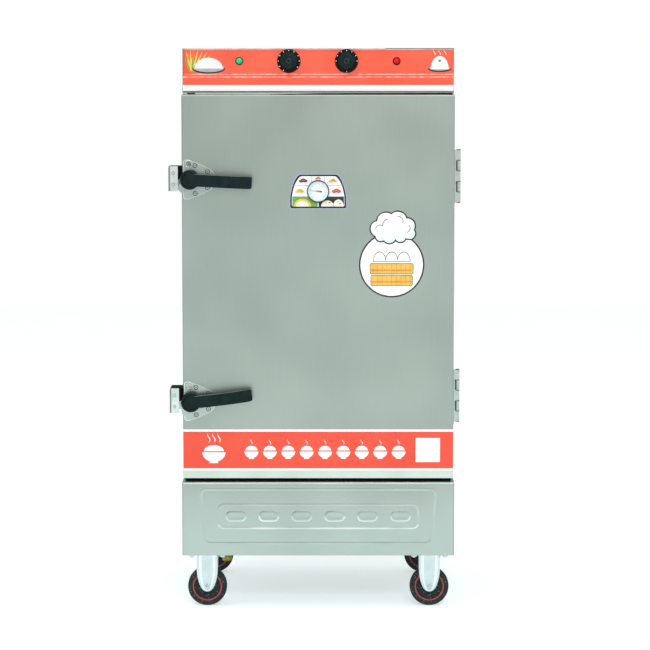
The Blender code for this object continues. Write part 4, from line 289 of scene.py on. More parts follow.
# %% Build the stage
def make_world():
    world = bpy.data.worlds.new("white_room")
    world.use_nodes = True
    tree = world.node_tree
    background = tree.nodes["Background"]
    rays = add(tree, "LightPath")
    white = add(tree, "Math", {0: rays.outputs["Is Camera Ray"], 1: rays.outputs["Is Transmission Ray"]},
                operation="MAXIMUM")
    way = add(tree, "SeparateXYZ", {"Vector": add(tree, "TexCoord").outputs["Generated"]})
    height = add(tree, "MapRange", {"Value": way.outputs["Z"], "From Min": -0.1, "From Max": 0.35,
                                    "To Min": 1.0, "To Max": WALL_TOP})
    side = add(tree, "MapRange", {"Value": way.outputs["X"], "From Min": -0.5, "From Max": 0.4,
                                  "To Min": WALL_LEFT, "To Max": 1.0})
    wall = add(tree, "Math", {0: height, 1: side}, operation="MULTIPLY")
    mirrored = add(tree, "MapRange", {"Value": rays.outputs["Is Glossy Ray"], "To Min": WORLD_FILL,
                                      "To Max": wall})
    strength = add(tree, "MapRange", {"Value": white, "To Min": mirrored, "To Max": 1.0})
    feed(background, {"Color": linear("#FFFFFF"), "Strength": strength})
    bpy.context.scene.world = world


def make_floor():
    bm = bmesh.new()
    half = 9.0  # the floor's half side
    bm.faces.new([bm.verts.new((x * half, y * half, 0)) for x, y in ((-1, -1), (1, -1), (1, 1), (-1, 1))])
    mesh = bpy.data.meshes.new("studio_floor")
    bm.to_mesh(mesh)
    made, tree, shader = start_material("studio_floor", 0.9)
    place = add(tree, "TexCoord").outputs["Object"]
    mottle = add(tree, "TexNoise", {"Vector": place, "Scale": 3.0, "Detail": 2.0})
    colour = add(tree, "MixRGB", {"Fac": mottle, "Color1": linear("#CFDFDF"), "Color2": linear("#D5E5E5")})
    rays = add(tree, "LightPath")
    mirrored = add(tree, "Math", {0: rays.outputs["Is Glossy Ray"], 1: FLOOR_MIRRORED}, operation="MULTIPLY")
    glow = add(tree, "Math", {0: rays.outputs["Is Camera Ray"], 1: FLOOR_LIFT, 2: mirrored},
               operation="MULTIPLY_ADD")
    feed(shader, {"Base Color": colour, "Emission Color": linear("#FFFFFF"), "Emission Strength": glow})
    mesh.materials.append(made)
    floor = bpy.data.objects.new("studio_floor", mesh)
    bpy.context.scene.collection.objects.link(floor)


def make_lamp(name, place, aim, size, watts, mirrored=True):
    """A rectangular lamp. One that isn't mirrored lights matt surfaces only."""
    data = bpy.data.lights.new(name, "AREA")
    data.shape = "RECTANGLE"
    data.size, data.size_y = size
    data.energy = watts
    lamp = bpy.data.objects.new(name, data)
    lamp.location = place
    lamp.rotation_euler = (Vector(aim) - Vector(place)).to_track_quat("-Z", "Y").to_euler()
    lamp.visible_glossy = mirrored
    bpy.context.scene.collection.objects.link(lamp)


WORLD_FILL = 0.72
WALL_TOP, WALL_LEFT = 0.62, 0.66  # the room behind the camera is a little darker up and to the left
FLOOR_LIFT, FLOOR_MIRRORED = 0.5, 0.36  # the floor's own glow, for the camera and in mirrors
make_world()
make_floor()
make_lamp("overhead_softbox", (-0.6, -1.2, 3.6), (0, 0, 0.6), (3.4, 2.6), 36)
make_lamp("front_softbox", (0.7, -6.0, 3.7), (0, 0, 0.7), (1.8, 1.4), 108, mirrored=False)
make_lamp("left_softbox", (-3.6, -1.6, 1.6), (0, 0, 0.7), (1.6, 2.4), 14, mirrored=False)
make_lamp("small_key", (0.9, -4.6, 3.0), (0.1, -0.25, 0.8), (0.5, 0.5), 15)
bpy.context.scene.view_settings.view_transform = "Standard"
print("stage ready")

# %% [markdown]
# ## Outlines
# Most pieces start as a closed outline: corners rounded by arcs, or a smooth curve through a few points.
# A Catmull-Rom curve passes through every point it is given, so a measured shape stays where it is.


# %% Outline helpers
def arc(centre, radius, first, last, steps=8):
    """Points round a centre between two angles in degrees."""
    angles = [math.radians(first + (last - first) * i / steps) for i in range(steps + 1)]
    return [(centre[0] + radius * math.cos(a), centre[1] + radius * math.sin(a)) for a in angles]


def oblong(left, right, low, high):
    return [(left, low), (right, low), (right, high), (left, high)]


def rounded(low, high, radius, steps=6):
    """A rectangle between two corners, with rounded corners, anticlockwise."""
    points = []
    for x, z, first in (
        (high[0] - radius, high[1] - radius, 0), (low[0] + radius, high[1] - radius, 90),
        (low[0] + radius, low[1] + radius, 180), (high[0] - radius, low[1] + radius, 270),
    ):
        points += arc((x, z), radius, first, first + 90, steps)
    return points


def flowing(points, steps=5, closed=False):
    """A smooth curve through the points."""
    count = len(points)
    made = []
    for i in range(count if closed else count - 1):
        if closed:
            a, b, c, d = (points[(i + k - 1) % count] for k in range(4))
        else:
            a, b, c, d = points[max(i - 1, 0)], points[i], points[i + 1], points[min(i + 2, count - 1)]
        for step in range(steps):
            t = step / steps
            made.append(tuple(
                0.5 * (2 * q + (r - p) * t + (2 * p - 5 * q + 4 * r - s) * t ** 2
                       + (3 * q - p - 3 * r + s) * t ** 3)
                for p, q, r, s in zip(a, b, c, d)
            ))
    return made if closed else [*made, tuple(points[-1])]


def mirrored(points):
    """A closed outline from one half of it, whose other half mirrors it across the first axis."""
    return [*points, *[(a, -b) for a, b in reversed(points)]]


def filleted(points, radius, steps=5):
    """An open path whose inner corners are rounded."""
    made = [Vector(points[0])]
    for before, corner, after in zip(points, points[1:], points[2:]):
        corner, back, on = Vector(corner), Vector(before) - Vector(corner), Vector(after) - Vector(corner)
        half = back.angle(on) / 2
        reach = radius / math.tan(half)
        start, end = corner + back.normalized() * reach, corner + on.normalized() * reach
        centre = corner + (back.normalized() + on.normalized()).normalized() * radius / math.sin(half)
        first, last = start - centre, end - centre
        turn = first.angle_signed(last)
        for i in range(steps + 1):
            made.append(centre + Matrix.Rotation(-turn * i / steps, 2) @ first)
    return [*made, Vector(points[-1])]


# %% [markdown]
# ## Solid helpers
# A view says how a flat outline lies in space: FRONT puts it on the door's face with depth towards the
# viewer, PLAN lays it on the floor, and SIDE stands it up facing sideways.
# Every helper makes closed solids, because thin real parts have thickness too.

# %% Solid helpers
FRONT = Matrix(((1, 0, 0), (0, 0, -1), (0, 1, 0)))
PLAN = Matrix.Identity(3)
SIDE = Matrix(((0, 0, 1), (1, 0, 0), (0, 1, 0)))


def mm(*points):
    """Points given in millimetres, as points in metres."""
    return [tuple(value / 1000 for value in point) for point in points]


def spun(points, degrees, foot=(0, 0)):
    """Points turned anticlockwise about the origin and then moved to a foot."""
    c, s = math.cos(math.radians(degrees)), math.sin(math.radians(degrees))
    return [(foot[0] + a * c - b * s, foot[1] + a * s + b * c) for a, b in points]


def ring(bm, outline, level, view=FRONT, at=(0, 0, 0)):
    """The vertices of a flat outline at one level."""
    return [bm.verts.new(Vector(at) + view @ Vector((a, b, level))) for a, b in outline]


def bridge(bm, rings, closed, slot=0, slots=None):
    """Joins each ring of vertices to the next. A ring of one vertex is a point."""
    for k, (first, second) in enumerate(zip(rings, rings[1:] + rings[:1] if closed else rings[1:])):
        count = max(len(first), len(second))
        for i in range(count if count > 1 else 0):
            j = (i + 1) % count
            corners = [spots[n % len(spots)] for spots, n in ((first, i), (first, j), (second, j), (second, i))]
            face = bm.faces.new(list(dict.fromkeys(corners)))
            face.material_index = slots[k] if slots else slot


def plate(bm, outline, near, far, view=FRONT, slot=0, at=(0, 0, 0)):
    """An outline with thickness."""
    rings = [ring(bm, outline, level, view, at) for level in (near, far)]
    bridge(bm, rings, False, slot)
    for cap in (rings[0][::-1], rings[1]):
        bm.faces.new(cap).material_index = slot


def band(bm, outer, inner, near, far, slot):
    """A plate with a hole, between two outlines of equal length."""
    loops = ((outer, near), (outer, far), (inner, far), (inner, near))
    bridge(bm, [ring(bm, outline, level) for outline, level in loops], True, slot)


def turned(bm, profile, at=(0, 0, 0), view=FRONT, steps=64, slots=None, slot=0, wave=None):
    """A closed profile of (radius, out) turned about the view's last axis."""
    rings = []
    for radius, out in profile:
        points = []
        for i in range(steps if radius else 1):
            angle = math.tau * i / steps
            reach = radius + (wave(angle, out) if wave and radius else 0)
            points.append((reach * math.cos(angle), reach * math.sin(angle)))
        rings.append(ring(bm, points, out, view, at))
    bridge(bm, rings, bool(profile[0][0] or profile[-1][0]), slot, slots)


def rod(bm, radius, near, far, at=(0, 0, 0), view=FRONT, steps=32, slot=0):
    """A plain round bar or disc."""
    turned(bm, [(0, near), (radius, near), (radius, far), (0, far)], at, view, steps, slot=slot)


def bent(bm, path, sheet, near, far, view, radius, slot=0):
    """A sheet folded along a path. Its outer face follows the path, and the sheet lies on the path's left."""
    outer = filleted(path, radius)
    inner = []
    for i, point in enumerate(outer):
        along = outer[min(i + 1, len(outer) - 1)] - outer[max(i - 1, 0)]
        inner.append(point + Vector((-along.y, along.x)).normalized() * sheet)
    plate(bm, [*outer, *reversed(inner)], near, far, view, slot)


def soften(bm, width, steps, angle):
    """Rounds every edge that is sharper than the angle."""
    sharp = [e for e in bm.edges if len(e.link_faces) == 2 and e.calc_face_angle(0) > math.radians(angle)]
    bmesh.ops.bevel(bm, geom=sharp, offset=width, segments=steps, profile=0.5, affect="EDGES",
                    clamp_overlap=True)


# %% [markdown]
# ## From a mesh to a piece
# A mesh gets its normals, its materials by slot number, and sharp edges where faces meet at an angle.
# A piece is that mesh in its place. It rides on one of the model's bodies, and may stand for a plain solid,
# which is then hidden.


# %% Piece helpers
def shape(name, bm, *materials, smooth=38):
    """Closes the making of a mesh: normals outward, smooth faces, and sharp edges kept sharp."""
    bmesh.ops.recalc_face_normals(bm, faces=bm.faces)
    mesh = bpy.data.meshes.new(name)
    bm.to_mesh(mesh)
    bm.free()
    for material in materials:
        mesh.materials.append(material)
    mesh.shade_smooth()
    mesh.set_sharp_from_angle(angle=math.radians(smooth))
    return mesh


def piece(name, body, mesh, at=(0, 0, 0), tilt=0.0, instead_of=()):
    """Puts a mesh in place, rides it on its body, and hides the solids it stands for."""
    made = bpy.data.objects.new(name, mesh)
    made.location = at
    made.rotation_euler = (0, -tilt, 0)
    bpy.context.scene.collection.objects.link(made)
    bpy.context.view_layer.update()
    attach(made, body)
    if instead_of:
        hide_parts(*instead_of)


# %% [markdown]
# ## Control panel
# One strip of 1.2 mm sheet is folded five times: a top flange, an upright face for the knobs, a sloping
# ledge, a lower strip and a return. Red vinyl covers it and a white line runs along its lower edge.
# The bends have a radius of about 2.5 mm. Paler red strips over the ledge's bends and the top edge are painted
# highlights. A strip on the cover's front edge is a painted highlight at its left and a painted shadow line at
# its right.

# %% Fold the control panel
panel_low, panel_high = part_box("control_panel")
LEDGE_TOP, LEDGE_BOTTOM, STRIP_TOP = 1.383, 1.376, 1.3555
UPPER_FACE_Y = panel_low.y + 0.008
PANEL_SHEET, PANEL_BEND = 0.0012, 0.0025
FILM = 0.00015  # the vinyl's thickness
upper_ledge, lower_ledge = Vector((UPPER_FACE_Y, LEDGE_TOP)), Vector((panel_low.y, LEDGE_BOTTOM))


def panel_strip(bm, path, sheet, radius, slot=0):
    bent(bm, path, sheet, panel_low.x, panel_high.x, SIDE, radius, slot)


bm = bmesh.new()
panel_strip(bm, [(panel_high.y, panel_high.z), (UPPER_FACE_Y, panel_high.z), upper_ledge, lower_ledge,
                 (panel_low.y, panel_low.z), (panel_low.y + 0.018, panel_low.z)], PANEL_SHEET, PANEL_BEND)
piece("control_panel_sheet", "cabinet", shape("control_panel_sheet", bm, PANEL_RED),
      instead_of=["control_panel"])

white_face, white_foot = panel_low.y - FILM, panel_low.z - FILM
bm = bmesh.new()
panel_strip(bm, [(white_face, STRIP_TOP), (white_face, white_foot), (panel_low.y + 0.012, white_foot)], FILM,
            0.0026)
piece("control_panel_white_line", "cabinet", shape("control_panel_white_line", bm, FILM_WHITE))

slope = (lower_ledge - upper_ledge).normalized() * 0.0014
upper_bend, lower_bend = Vector((UPPER_FACE_Y - FILM, LEDGE_TOP)), Vector((panel_low.y - FILM, LEDGE_BOTTOM))
top_bend = Vector((UPPER_FACE_Y - FILM, panel_high.z + FILM))
# Pale strips over the ledge's two bends and the top bend are painted highlights
bm = bmesh.new()
for slot, path in (
    (0, [upper_bend + Vector((0, 0.0014)), upper_bend, upper_bend + slope]),
    (0, [lower_bend - slope, lower_bend, lower_bend - Vector((0, 0.0013))]),
    (1, [top_bend + Vector((0.005, 0)), top_bend, top_bend - Vector((0, 0.003))]),
):
    panel_strip(bm, path, FILM, 0.0024, slot)
cover_low, cover_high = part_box("top_cover")
# Along the cover's front edge: a painted highlight at the left, and a painted shadow line in shaded steel at
# the right
edge_low, edge_high = panel_high.z + 0.0002, cover_high.z - 0.0003
for left, right, slot in ((cover_low.x + 0.002, 0.18, 1), (0.181, cover_high.x - 0.002, 2)):
    plate(bm, oblong(left, right, edge_low, edge_high), 0, 0.0002, slot=slot, at=(0, cover_low.y, 0))
piece("control_panel_bends", "cabinet",
      shape("control_panel_bends", bm, BEND_HIGHLIGHT, EDGE_HIGHLIGHT, SHADED_STEEL))
print(f"panel {panel_high.x - panel_low.x:.3f} m wide")

# %% [markdown]
# ## Knobs
# Each knob is phenolic with a flat skirt that carries printed ticks, a matt cap with ten finger flutes, and
# a worn ring in its middle. A turned profile gives the rings, and a wave on the radius gives the flutes.

# %% Mould the knobs
KNOB_FLUTES = 10
TICKS = {
    "knob_left": (-35, 0, 30, 60, 90, 120, 150, 180, 210, 240),
    "knob_right": (0, 30, 60, 90, 120, 150, 180, 270),
}
KNOB_PROFILE = mm(
    (0, 0), (29.5, 0), (30, 0.6), (30, 2.4), (29.2, 3.2), (24, 3.8), (23, 4.2), (22.6, 5.2), (21.8, 12),
    (21.2, 19), (20.4, 20.5), (18.4, 21.6), (11, 21.8), (9.8, 20.8), (0, 20.8),
)
RING_PROFILE = mm((5.6, 20.4), (6.1, 20.4), (6.1, 21), (5.6, 21))
TICK = oblong(0.0258, 0.0286, -0.0008, 0.0008)


def fluted(angle, out):
    """Shallow hollows round the cap, which start above the skirt."""
    if out < 0.0045 or out > 0.0209:
        return 0
    return -0.0009 * max(0.0, math.cos(KNOB_FLUTES * angle)) ** 0.7


for knob, body in (("knob_left", "thermostat_knob"), ("knob_right", "timer_knob")):
    bm = bmesh.new()
    turned(bm, KNOB_PROFILE, steps=120, wave=fluted, slots=[0] * 7 + [3] * 7)
    turned(bm, RING_PROFILE, steps=48, slot=1)
    for degrees in TICKS[knob]:
        plate(bm, spun(TICK, degrees), 0.003, 0.0042, slot=2)
    piece(f"{knob}_moulded", body,
          shape(knob, bm, KNOB_BLACK, WORN_NYLON_AND_HIGHLIGHT, FILM_WHITE, BLACK_NYLON),
          middle(knob, y=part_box(knob)[1].y), instead_of=[knob])
print("knobs ready")

# %% [markdown]
# ## Pilot lamps
# A pilot lamp is a black threaded bezel round a domed lens of coloured polycarbonate.
# The lens is a turned arc, so its highlight is a small bright spot like the real one.

# %% Fit the lamps
BEZEL = mm((0, -20), (7.2, -20), (7.2, 0), (10, 0), (10, 1.9), (9.4, 2.7), (8.6, 2.8), (8.2, 2), (0, 2))
LENS_R, LENS_FOOT, LENS_TOP = 0.0081, 0.0014, 0.007
DOME = [(LENS_R * across, LENS_FOOT + (LENS_TOP - LENS_FOOT) * up) for across, up in arc((0, 0), 1, 0, 80)]
for lamp, slot, lens in (("lamp_green", "green_lens", GREEN_LENS), ("lamp_red", "red_lens", RED_LENS)):
    bm = bmesh.new()
    turned(bm, BEZEL)
    turned(bm, [(0, 0.0012), *DOME, (0, LENS_TOP)], slot=1)
    piece(f"{lamp}_fitting", "cabinet", shape(lamp, bm, KNOB_BLACK, lens), middle(lamp, y=UPPER_FACE_Y),
          instead_of=[lamp])
print("lamps ready")

# %% [markdown]
# ## Door thermometer
# A bimetal thermometer has a short case, a printed dial and a thin needle on a post. Its bezel is dark
# blue here. The needle's long end is grey and its tail is red and wider. Scale marks are numberless.

# %% Build the thermometer
dial_low, dial_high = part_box("thermometer_case")
DIAL_R = (dial_high.x - dial_low.x) / 2
DIAL_CENTRE = middle("thermometer_case", y=DOOR_Y)
DIAL_LEVEL = 0.004  # the dial's face above the door
SCALE_MARKS, SCALE_START = 28, 228  # one mark each 10 degrees, clockwise
NEEDLE_TILT = math.radians(-6)

bm = bmesh.new()
bezel = [(DIAL_R - inset, out)
         for inset, out in mm((2.4, 8), (1.9, 8.8), (1, 8.9), (0.3, 8.2), (0, 7), (0, 0.3))]
turned(bm, [(0, 0.0062), (0.0009, 0.0062), (0.0009, DIAL_LEVEL), (DIAL_R - 0.0027, DIAL_LEVEL), *bezel,
            *mm((3.5, 0.3), (3.5, -59), (0, -59))], steps=96, slots=[0, 0, 0, 1, 1, 1, 1, 1, 1, 0, 2, 2, 0])
for mark in range(SCALE_MARKS):
    reach, half = (0.0172, 0.00045) if mark % 3 == 0 else (0.0192, 0.00028)
    line = spun(oblong(reach, 0.0222, -half, half), SCALE_START - mark * 10)
    plate(bm, line, DIAL_LEVEL - 0.0002, DIAL_LEVEL + 0.0001, slot=3)
piece("thermometer_body", "door",
      shape("thermometer_body", bm, DIAL_WHITE, inks["navy"], POLISHED, inks["slate"]), DIAL_CENTRE,
      instead_of=["thermometer_case"])

near, far = DIAL_LEVEL + 0.0005, DIAL_LEVEL + 0.0012
bm = bmesh.new()
plate(bm, mm((-20.5, -0.3), (-1.6, -0.9), (-1.6, 0.9), (-20.5, 0.3)), near, far, slot=0)
plate(bm, mm((1.4, -1.4), (9.5, -2.1), (9.5, 2.1), (1.4, 1.4)), near, far, slot=1)
plate(bm, mm((-6, -0.8), (-1.8, -1.3), (-1.8, 1.3), (-6, 0.8)), far, far + 0.0002, slot=1)
turned(bm, [(0.0011, near), (0.0024, near), (0.0024, far + 0.0002), (0.002, far + 0.0004),
            (0.0011, far + 0.0004)], steps=32, slot=1)
piece("thermometer_pointer", "needle",
      shape("thermometer_pointer", bm, inks["grey"], inks["brick"]),
      DIAL_CENTRE, NEEDLE_TILT, ["thermometer_needle"])
print("thermometer ready")

# %% [markdown]
# ## Printed films
# The stickers are thin vinyl. Each is a stack of closed plates a few hundredths of a millimetre proud of
# one another, so that every colour has an edge of its own and nothing flickers.
# Their pictures are plain dishes of rice and vegetables, drawn for this model.


# %% Film helpers
class Film:
    """Collects printed shapes. Shapes that are added later lie on top."""

    LAYER, HAIR = 0.00005, 0.00001  # a new layer, and a hair's breadth between shapes of one layer

    def __init__(self, across, up, face):
        self.bm = bmesh.new()
        self.at = Vector((across, face, up))
        self.materials = []
        self.level = FILM

    def print(self, ink, outline, lift=LAYER):
        if inks[ink] not in self.materials:
            self.materials.append(inks[ink])
        plate(self.bm, outline, 0, self.level, FRONT, self.materials.index(inks[ink]))
        self.level += lift

    def row(self, *prints, lift=0):
        """Prints that lie side by side in one layer."""
        for ink, outline in prints:
            self.print(ink, outline, lift)
        self.level += self.LAYER

    def stick(self, name, body):
        piece(name, body, shape(name, self.bm, *self.materials), self.at)
        print(name, f"{self.level * 1000:.2f} mm thick")


def bow(centre, width, height, first, last, step):
    """Points along an upright or hanging half oval, by degrees."""
    turns = [math.radians(degrees) for degrees in range(first, last + 1, step)]
    return [(centre[0] + width / 2 * math.cos(a), centre[1] + height * math.sin(a)) for a in turns]


def circle(centre, radius, steps=40):
    return arc(centre, radius, 0, 360 * (steps - 1) / steps, steps - 1)


def oval(centre, across, up, steps=32):
    return [(centre[0] + across * x, centre[1] + up * z) for x, z in circle((0, 0), 1, steps)]


def bar(x, z, half_x, half_z, corner=0.0003, steps=2):
    """A straight bar round its middle."""
    return rounded((x - half_x, z - half_z), (x + half_x, z + half_z), corner, steps)


def bowl(centre, width, depth):
    """A bowl from the side: a straight rim, a round belly and a small foot."""
    x, foot_z = centre[0], centre[1] - depth * 1.12
    belly = bow(centre, width, depth, 180, 360, 12)
    return [*belly[:7], (x - width * 0.2, foot_z), (x + width * 0.2, foot_z), *belly[9:]]


def mound(centre, width, height):
    return bow(centre, width, height, 0, 180, 9)


def leaf(foot, length, width, degrees):
    """A leaf or blade that grows from its foot."""
    side = [(t * length, width / 2 * math.sin(math.pi * t ** 0.7))
            for t in (0, 0.15, 0.35, 0.55, 0.75, 0.9, 1.0)]
    return spun([*side, *[(a, -b) for a, b in reversed(side[1:-1])]][::-1], degrees, foot)


def steam(foot, height, width):
    """One curl of steam: a wavy band that narrows to its ends."""
    left, right = [], []
    for i in range(13):
        t = i / 12
        sway = width * math.sin(t * math.tau * 0.9)
        half = width * 0.42 * math.sin(math.pi * min(1.0, 0.08 + t * 0.92))
        left.append((foot[0] + sway - half, foot[1] + t * height))
        right.append((foot[0] + sway + half, foot[1] + t * height))
    return [*right, *left[::-1]]


# %% [markdown]
# ## Banner and bare square
# A red banner with white borders of 6 mm crosses the foot of the door. It carries a row of white bowls
# with steam, drawn for this model, and a bare white square at its right end.

# %% Stick the banner
BANNER_LOW, BANNER_HIGH, BANNER_BORDER = 0.3634, 0.4708, 0.006
BANNER_MIDDLE = (BANNER_LOW + BANNER_HIGH) / 2
EDGE = 0.0008  # how far films and strips stay inside the door's edges
banner = Film(0, 0, DOOR_Y)
for ink, border in (("white", 0), ("red", BANNER_BORDER)):
    low, high = (door_low.x + EDGE, BANNER_LOW + border), (door_high.x - EDGE, BANNER_HIGH - border)
    banner.print(ink, rounded(low, high, 0.0004, 2))
banner.print("white", bar(0.2905, BANNER_MIDDLE, 0.0315, 0.0315, 0.001, 3))
LARGE_BOWL, LARGE_X, LARGE_Z = 0.06, -0.262, BANNER_MIDDLE - 0.006
banner.print("white", bowl((LARGE_X, LARGE_Z), LARGE_BOWL, LARGE_BOWL * 0.42), 2 * Film.HAIR)
rice = mound((LARGE_X, LARGE_Z + LARGE_BOWL * 0.05), LARGE_BOWL * 0.86, LARGE_BOWL * 0.26)
banner.print("white", rice, 2 * Film.HAIR)
for shift in (-0.22, 0, 0.22):
    foot = (LARGE_X + shift * LARGE_BOWL, LARGE_Z + LARGE_BOWL * 0.42)
    banner.print("white", steam(foot, LARGE_BOWL * 0.42, LARGE_BOWL * 0.055), 0)
for i in range(9):
    x = -0.165 + i * 0.0475
    banner.print("white", bowl((x, BANNER_MIDDLE - 0.004), 0.036, 0.017), Film.HAIR)
    banner.print("white", mound((x, BANNER_MIDDLE - 0.001), 0.031, 0.012), Film.HAIR)
    banner.print("white", steam((x, BANNER_MIDDLE + 0.014), 0.014, 0.0022), 0)
banner.stick("door_banner_film", "door")

# %% [markdown]
# ## Foot strip, head strip and painted shadows
# A strip of brighter steel finishes the foot of the door. A narrow strip of it on the door's head is a painted
# highlight along the top edge. The dark lines above and below the door are painted shadows: black sheets that
# stand back from its face, so they ride on the door and clear the skirt by half a millimetre.

# %% Fit the strips and the painted shadows
skirt_low, skirt_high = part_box("skirt_panel")
HEAD_LINE, HEAD_TOP = door_high.z + 0.0011, panel_low.z - 0.0036
SHADOW_CLEARANCE, GAP_SHEET_BACK, GAP_SHEET_DEPTH = 0.0005, 0.012, 0.02
SHADOW_LEFT, SHADOW_RIGHT = -0.115, door_high.x - 0.006


def door_bar(bm, inset, low, high, corner, steps, near, far, slot=0):
    """A bar that runs across the door, a little shorter than the door at each end."""
    outline = rounded((door_low.x + inset, low), (door_high.x - inset, high), corner, steps)
    plate(bm, outline, near, far, slot=slot)


bm = bmesh.new()
door_bar(bm, EDGE, door_low.z + EDGE, BANNER_LOW - 0.0003, 0.0006, 3, 0, 0.0003)
soften(bm, 0.0001, 1, 60)
piece("door_foot_strip", "door", shape("door_foot_strip", bm, FOOT_STEEL_AND_HIGHLIGHT), (0, DOOR_Y, 0))

# A black sheet of painted shadow in the gap under the door
bm = bmesh.new()
door_bar(bm, 0.006, skirt_high.z + SHADOW_CLEARANCE, door_low.z, 0.0012, 4, -GAP_SHEET_DEPTH - GAP_SHEET_BACK, -GAP_SHEET_BACK)
piece("door_foot_shadow_sheet", "door", shape("door_foot_shadow_sheet", bm, RUBBER_PAD_AND_SHADOW), (0, DOOR_Y, 0))

bm = bmesh.new()
door_bar(bm, 0.004, HEAD_LINE, HEAD_TOP, 0.0006, 3, -GAP_SHEET_DEPTH, -GAP_SHEET_BACK + 0.002)
# Black painted shadow in the gap above the door, and in two darker pockets at its ends
gap_shadow = [(SHADOW_LEFT, door_high.z), (SHADOW_RIGHT, door_high.z), (SHADOW_RIGHT, HEAD_LINE + 0.0034),
         (0.02, HEAD_LINE + 0.0026), (SHADOW_LEFT, HEAD_LINE)]
plate(bm, gap_shadow, -0.016, -GAP_SHEET_BACK + 0.0022, slot=1)
for left, right in ((door_low.x + 0.015, door_low.x + 0.0345), (SHADOW_RIGHT - 0.036, SHADOW_RIGHT)):
    pocket_shadow = rounded((left, HEAD_LINE), (right, HEAD_TOP - 0.0002), 0.0006, 3)
    plate(bm, pocket_shadow, -0.016, -GAP_SHEET_BACK + 0.0025, slot=1)
# A painted highlight along the door's top edge
door_bar(bm, 0.002, door_high.z - 0.0034, door_high.z - 0.0008, 0.0003, 2, 0, 0.0002, 2)
piece("door_head_strip", "door",
      shape("door_head_strip", bm, HINGE_STEEL, RECESS_SHADE, FOOT_STEEL_AND_HIGHLIGHT), (0, DOOR_Y, 0))
print("strips and seals ready")

# %% [markdown]
# ## Thermometer label
# The label has a dark blue border with rounded shoulders, a pale margin and white cells with small dishes,
# over a wider picture on each side. Its middle lies under the thermometer.

# %% Stick the thermometer label
LABEL_BOTTOM, LABEL_TOP, LABEL_HALF, LABEL_SHOULDER = -0.0445, 0.0435, 0.0725, 0.045
# How far the side stands out, and how far below the top that is
LABEL_SIDE = mm((72.5, 70), (72, 56), (69.6, 43), (65.8, 29), (61, 16.6), (55, 6.2), (50.5, 1.4))


def label_outline(inset):
    """Upright at the foot, then leaning in to a narrower top with round shoulders."""
    half, low, high = LABEL_HALF - inset, LABEL_BOTTOM + inset, LABEL_TOP - inset
    right = [(across - inset, LABEL_TOP - drop - inset * max(0.0, 1 - drop / 0.03))
             for across, drop in LABEL_SIDE]
    side = [(half, low + 0.004), *flowing([*right, (LABEL_SHOULDER - inset * 0.6, high)], 4)]
    points = [*arc((half - 0.004, low + 0.004), 0.004, -90, 0, 4), *side]
    return [*points, *[(-a, b) for a, b in reversed(points)]]


label = Film(DIAL_CENTRE.x, DIAL_CENTRE.z, DOOR_Y)
for ink, inset in (("lavender", 0), ("navy", 0.0008), ("white", 0.0053)):
    label.print(ink, label_outline(inset))
for across, z in ((0.0685, 0.0145), (0.0685, -0.0135)):
    for side in (-1, 1):
        ends = sorted((side * 0.026, side * (across - max(0.0, z) * 0.32)))
        label.print("slate", rounded((ends[0], z - 0.0005), (ends[1], z + 0.0005), 0.0003, 2), 0)
for x in (-0.0165, 0.0165):
    label.print("slate", rounded((x - 0.0005, 0.022), (x + 0.0005, LABEL_TOP - 0.0048), 0.0003, 2), 0)
label.row(*[(ink, rounded((low, LABEL_BOTTOM + 0.0053), (high, -0.0142), 0.0016, 3))
            for low, high, ink in ((-0.066, -0.0012, "leaf"), (0.0012, 0.066, "charcoal"))])
label.row(*[(ink, mound((x, LABEL_BOTTOM + 0.0055), wide, high))
            for x, wide, high, ink in ((-0.04, 0.044, 0.02, "straw"), (0.024, 0.033, 0.015, "cream"),
                                       (0.052, 0.027, 0.018, "cream"))])
label.print("cream", mound((-0.04, LABEL_BOTTOM + 0.0056), 0.032, 0.0145), 0)
for x, z, ink in ((0.02, -0.03, "straw"), (0.029, -0.029, "leaf"), (0.05, -0.027, "straw"),
                  (0.056, -0.032, "leaf")):
    label.print(ink, oval((x, z), 0.003, 0.0018), 0)
DISHES = (  # middle, width, food and garnish
    (-0.038, 0.026, 0.015, "brown", "tomato"), (-0.047, -0.0005, 0.016, "straw", "leaf"),
    (0.038, 0.026, 0.015, "straw", "brown"), (0.047, -0.0005, 0.016, "tomato", "orange"),
    (0, 0.0328, 0.0095, "orange", "leaf"),
)
label.row(*[("sky", oval((x, z - wide * 0.16), wide, wide * 0.42)) for x, z, wide, _, _ in DISHES])
label.row(*[(food, oval((x + shift * wide, z + rise * wide), wide * 0.42, wide * 0.26))
            for x, z, wide, food, _ in DISHES
            for shift, rise in ((-0.34, 0), (0.3, 0.02), (0, 0.2))], lift=Film.HAIR)
for x, z, wide, _, garnish in DISHES:
    label.print(garnish, leaf((x - wide * 0.3, z + wide * 0.04), wide * 0.62, wide * 0.15, 24), 0)
    label.print(garnish, leaf((x + wide * 0.42, z - wide * 0.06), wide * 0.34, wide * 0.12, 150), 0)
label.stick("thermometer_label_film", "door")

# %% [markdown]
# ## Round sticker
# A round sticker of 168 mm shows a stacked bamboo steamer under a cloud of steam that rises above the disc.
# The cloud is one outline round overlapping discs, drawn three times: dark, pale blue and white.

# %% Stick the round sticker
PUFFS = mm((-34, 92, 21.5), (-14, 110, 25), (16, 114, 23.5), (40, 100, 20.5),
           (46, 80, 15.5), (-28, 74, 15), (-6, 72, 18), (22, 73, 16))
CLOUD_MIDDLE = Vector((0.006, 0.09))
BUNS = (-0.031, 0, 0.031)
STICKER_R, STICKER_RIM, STROKE = 0.084, 0.004, 0.0018


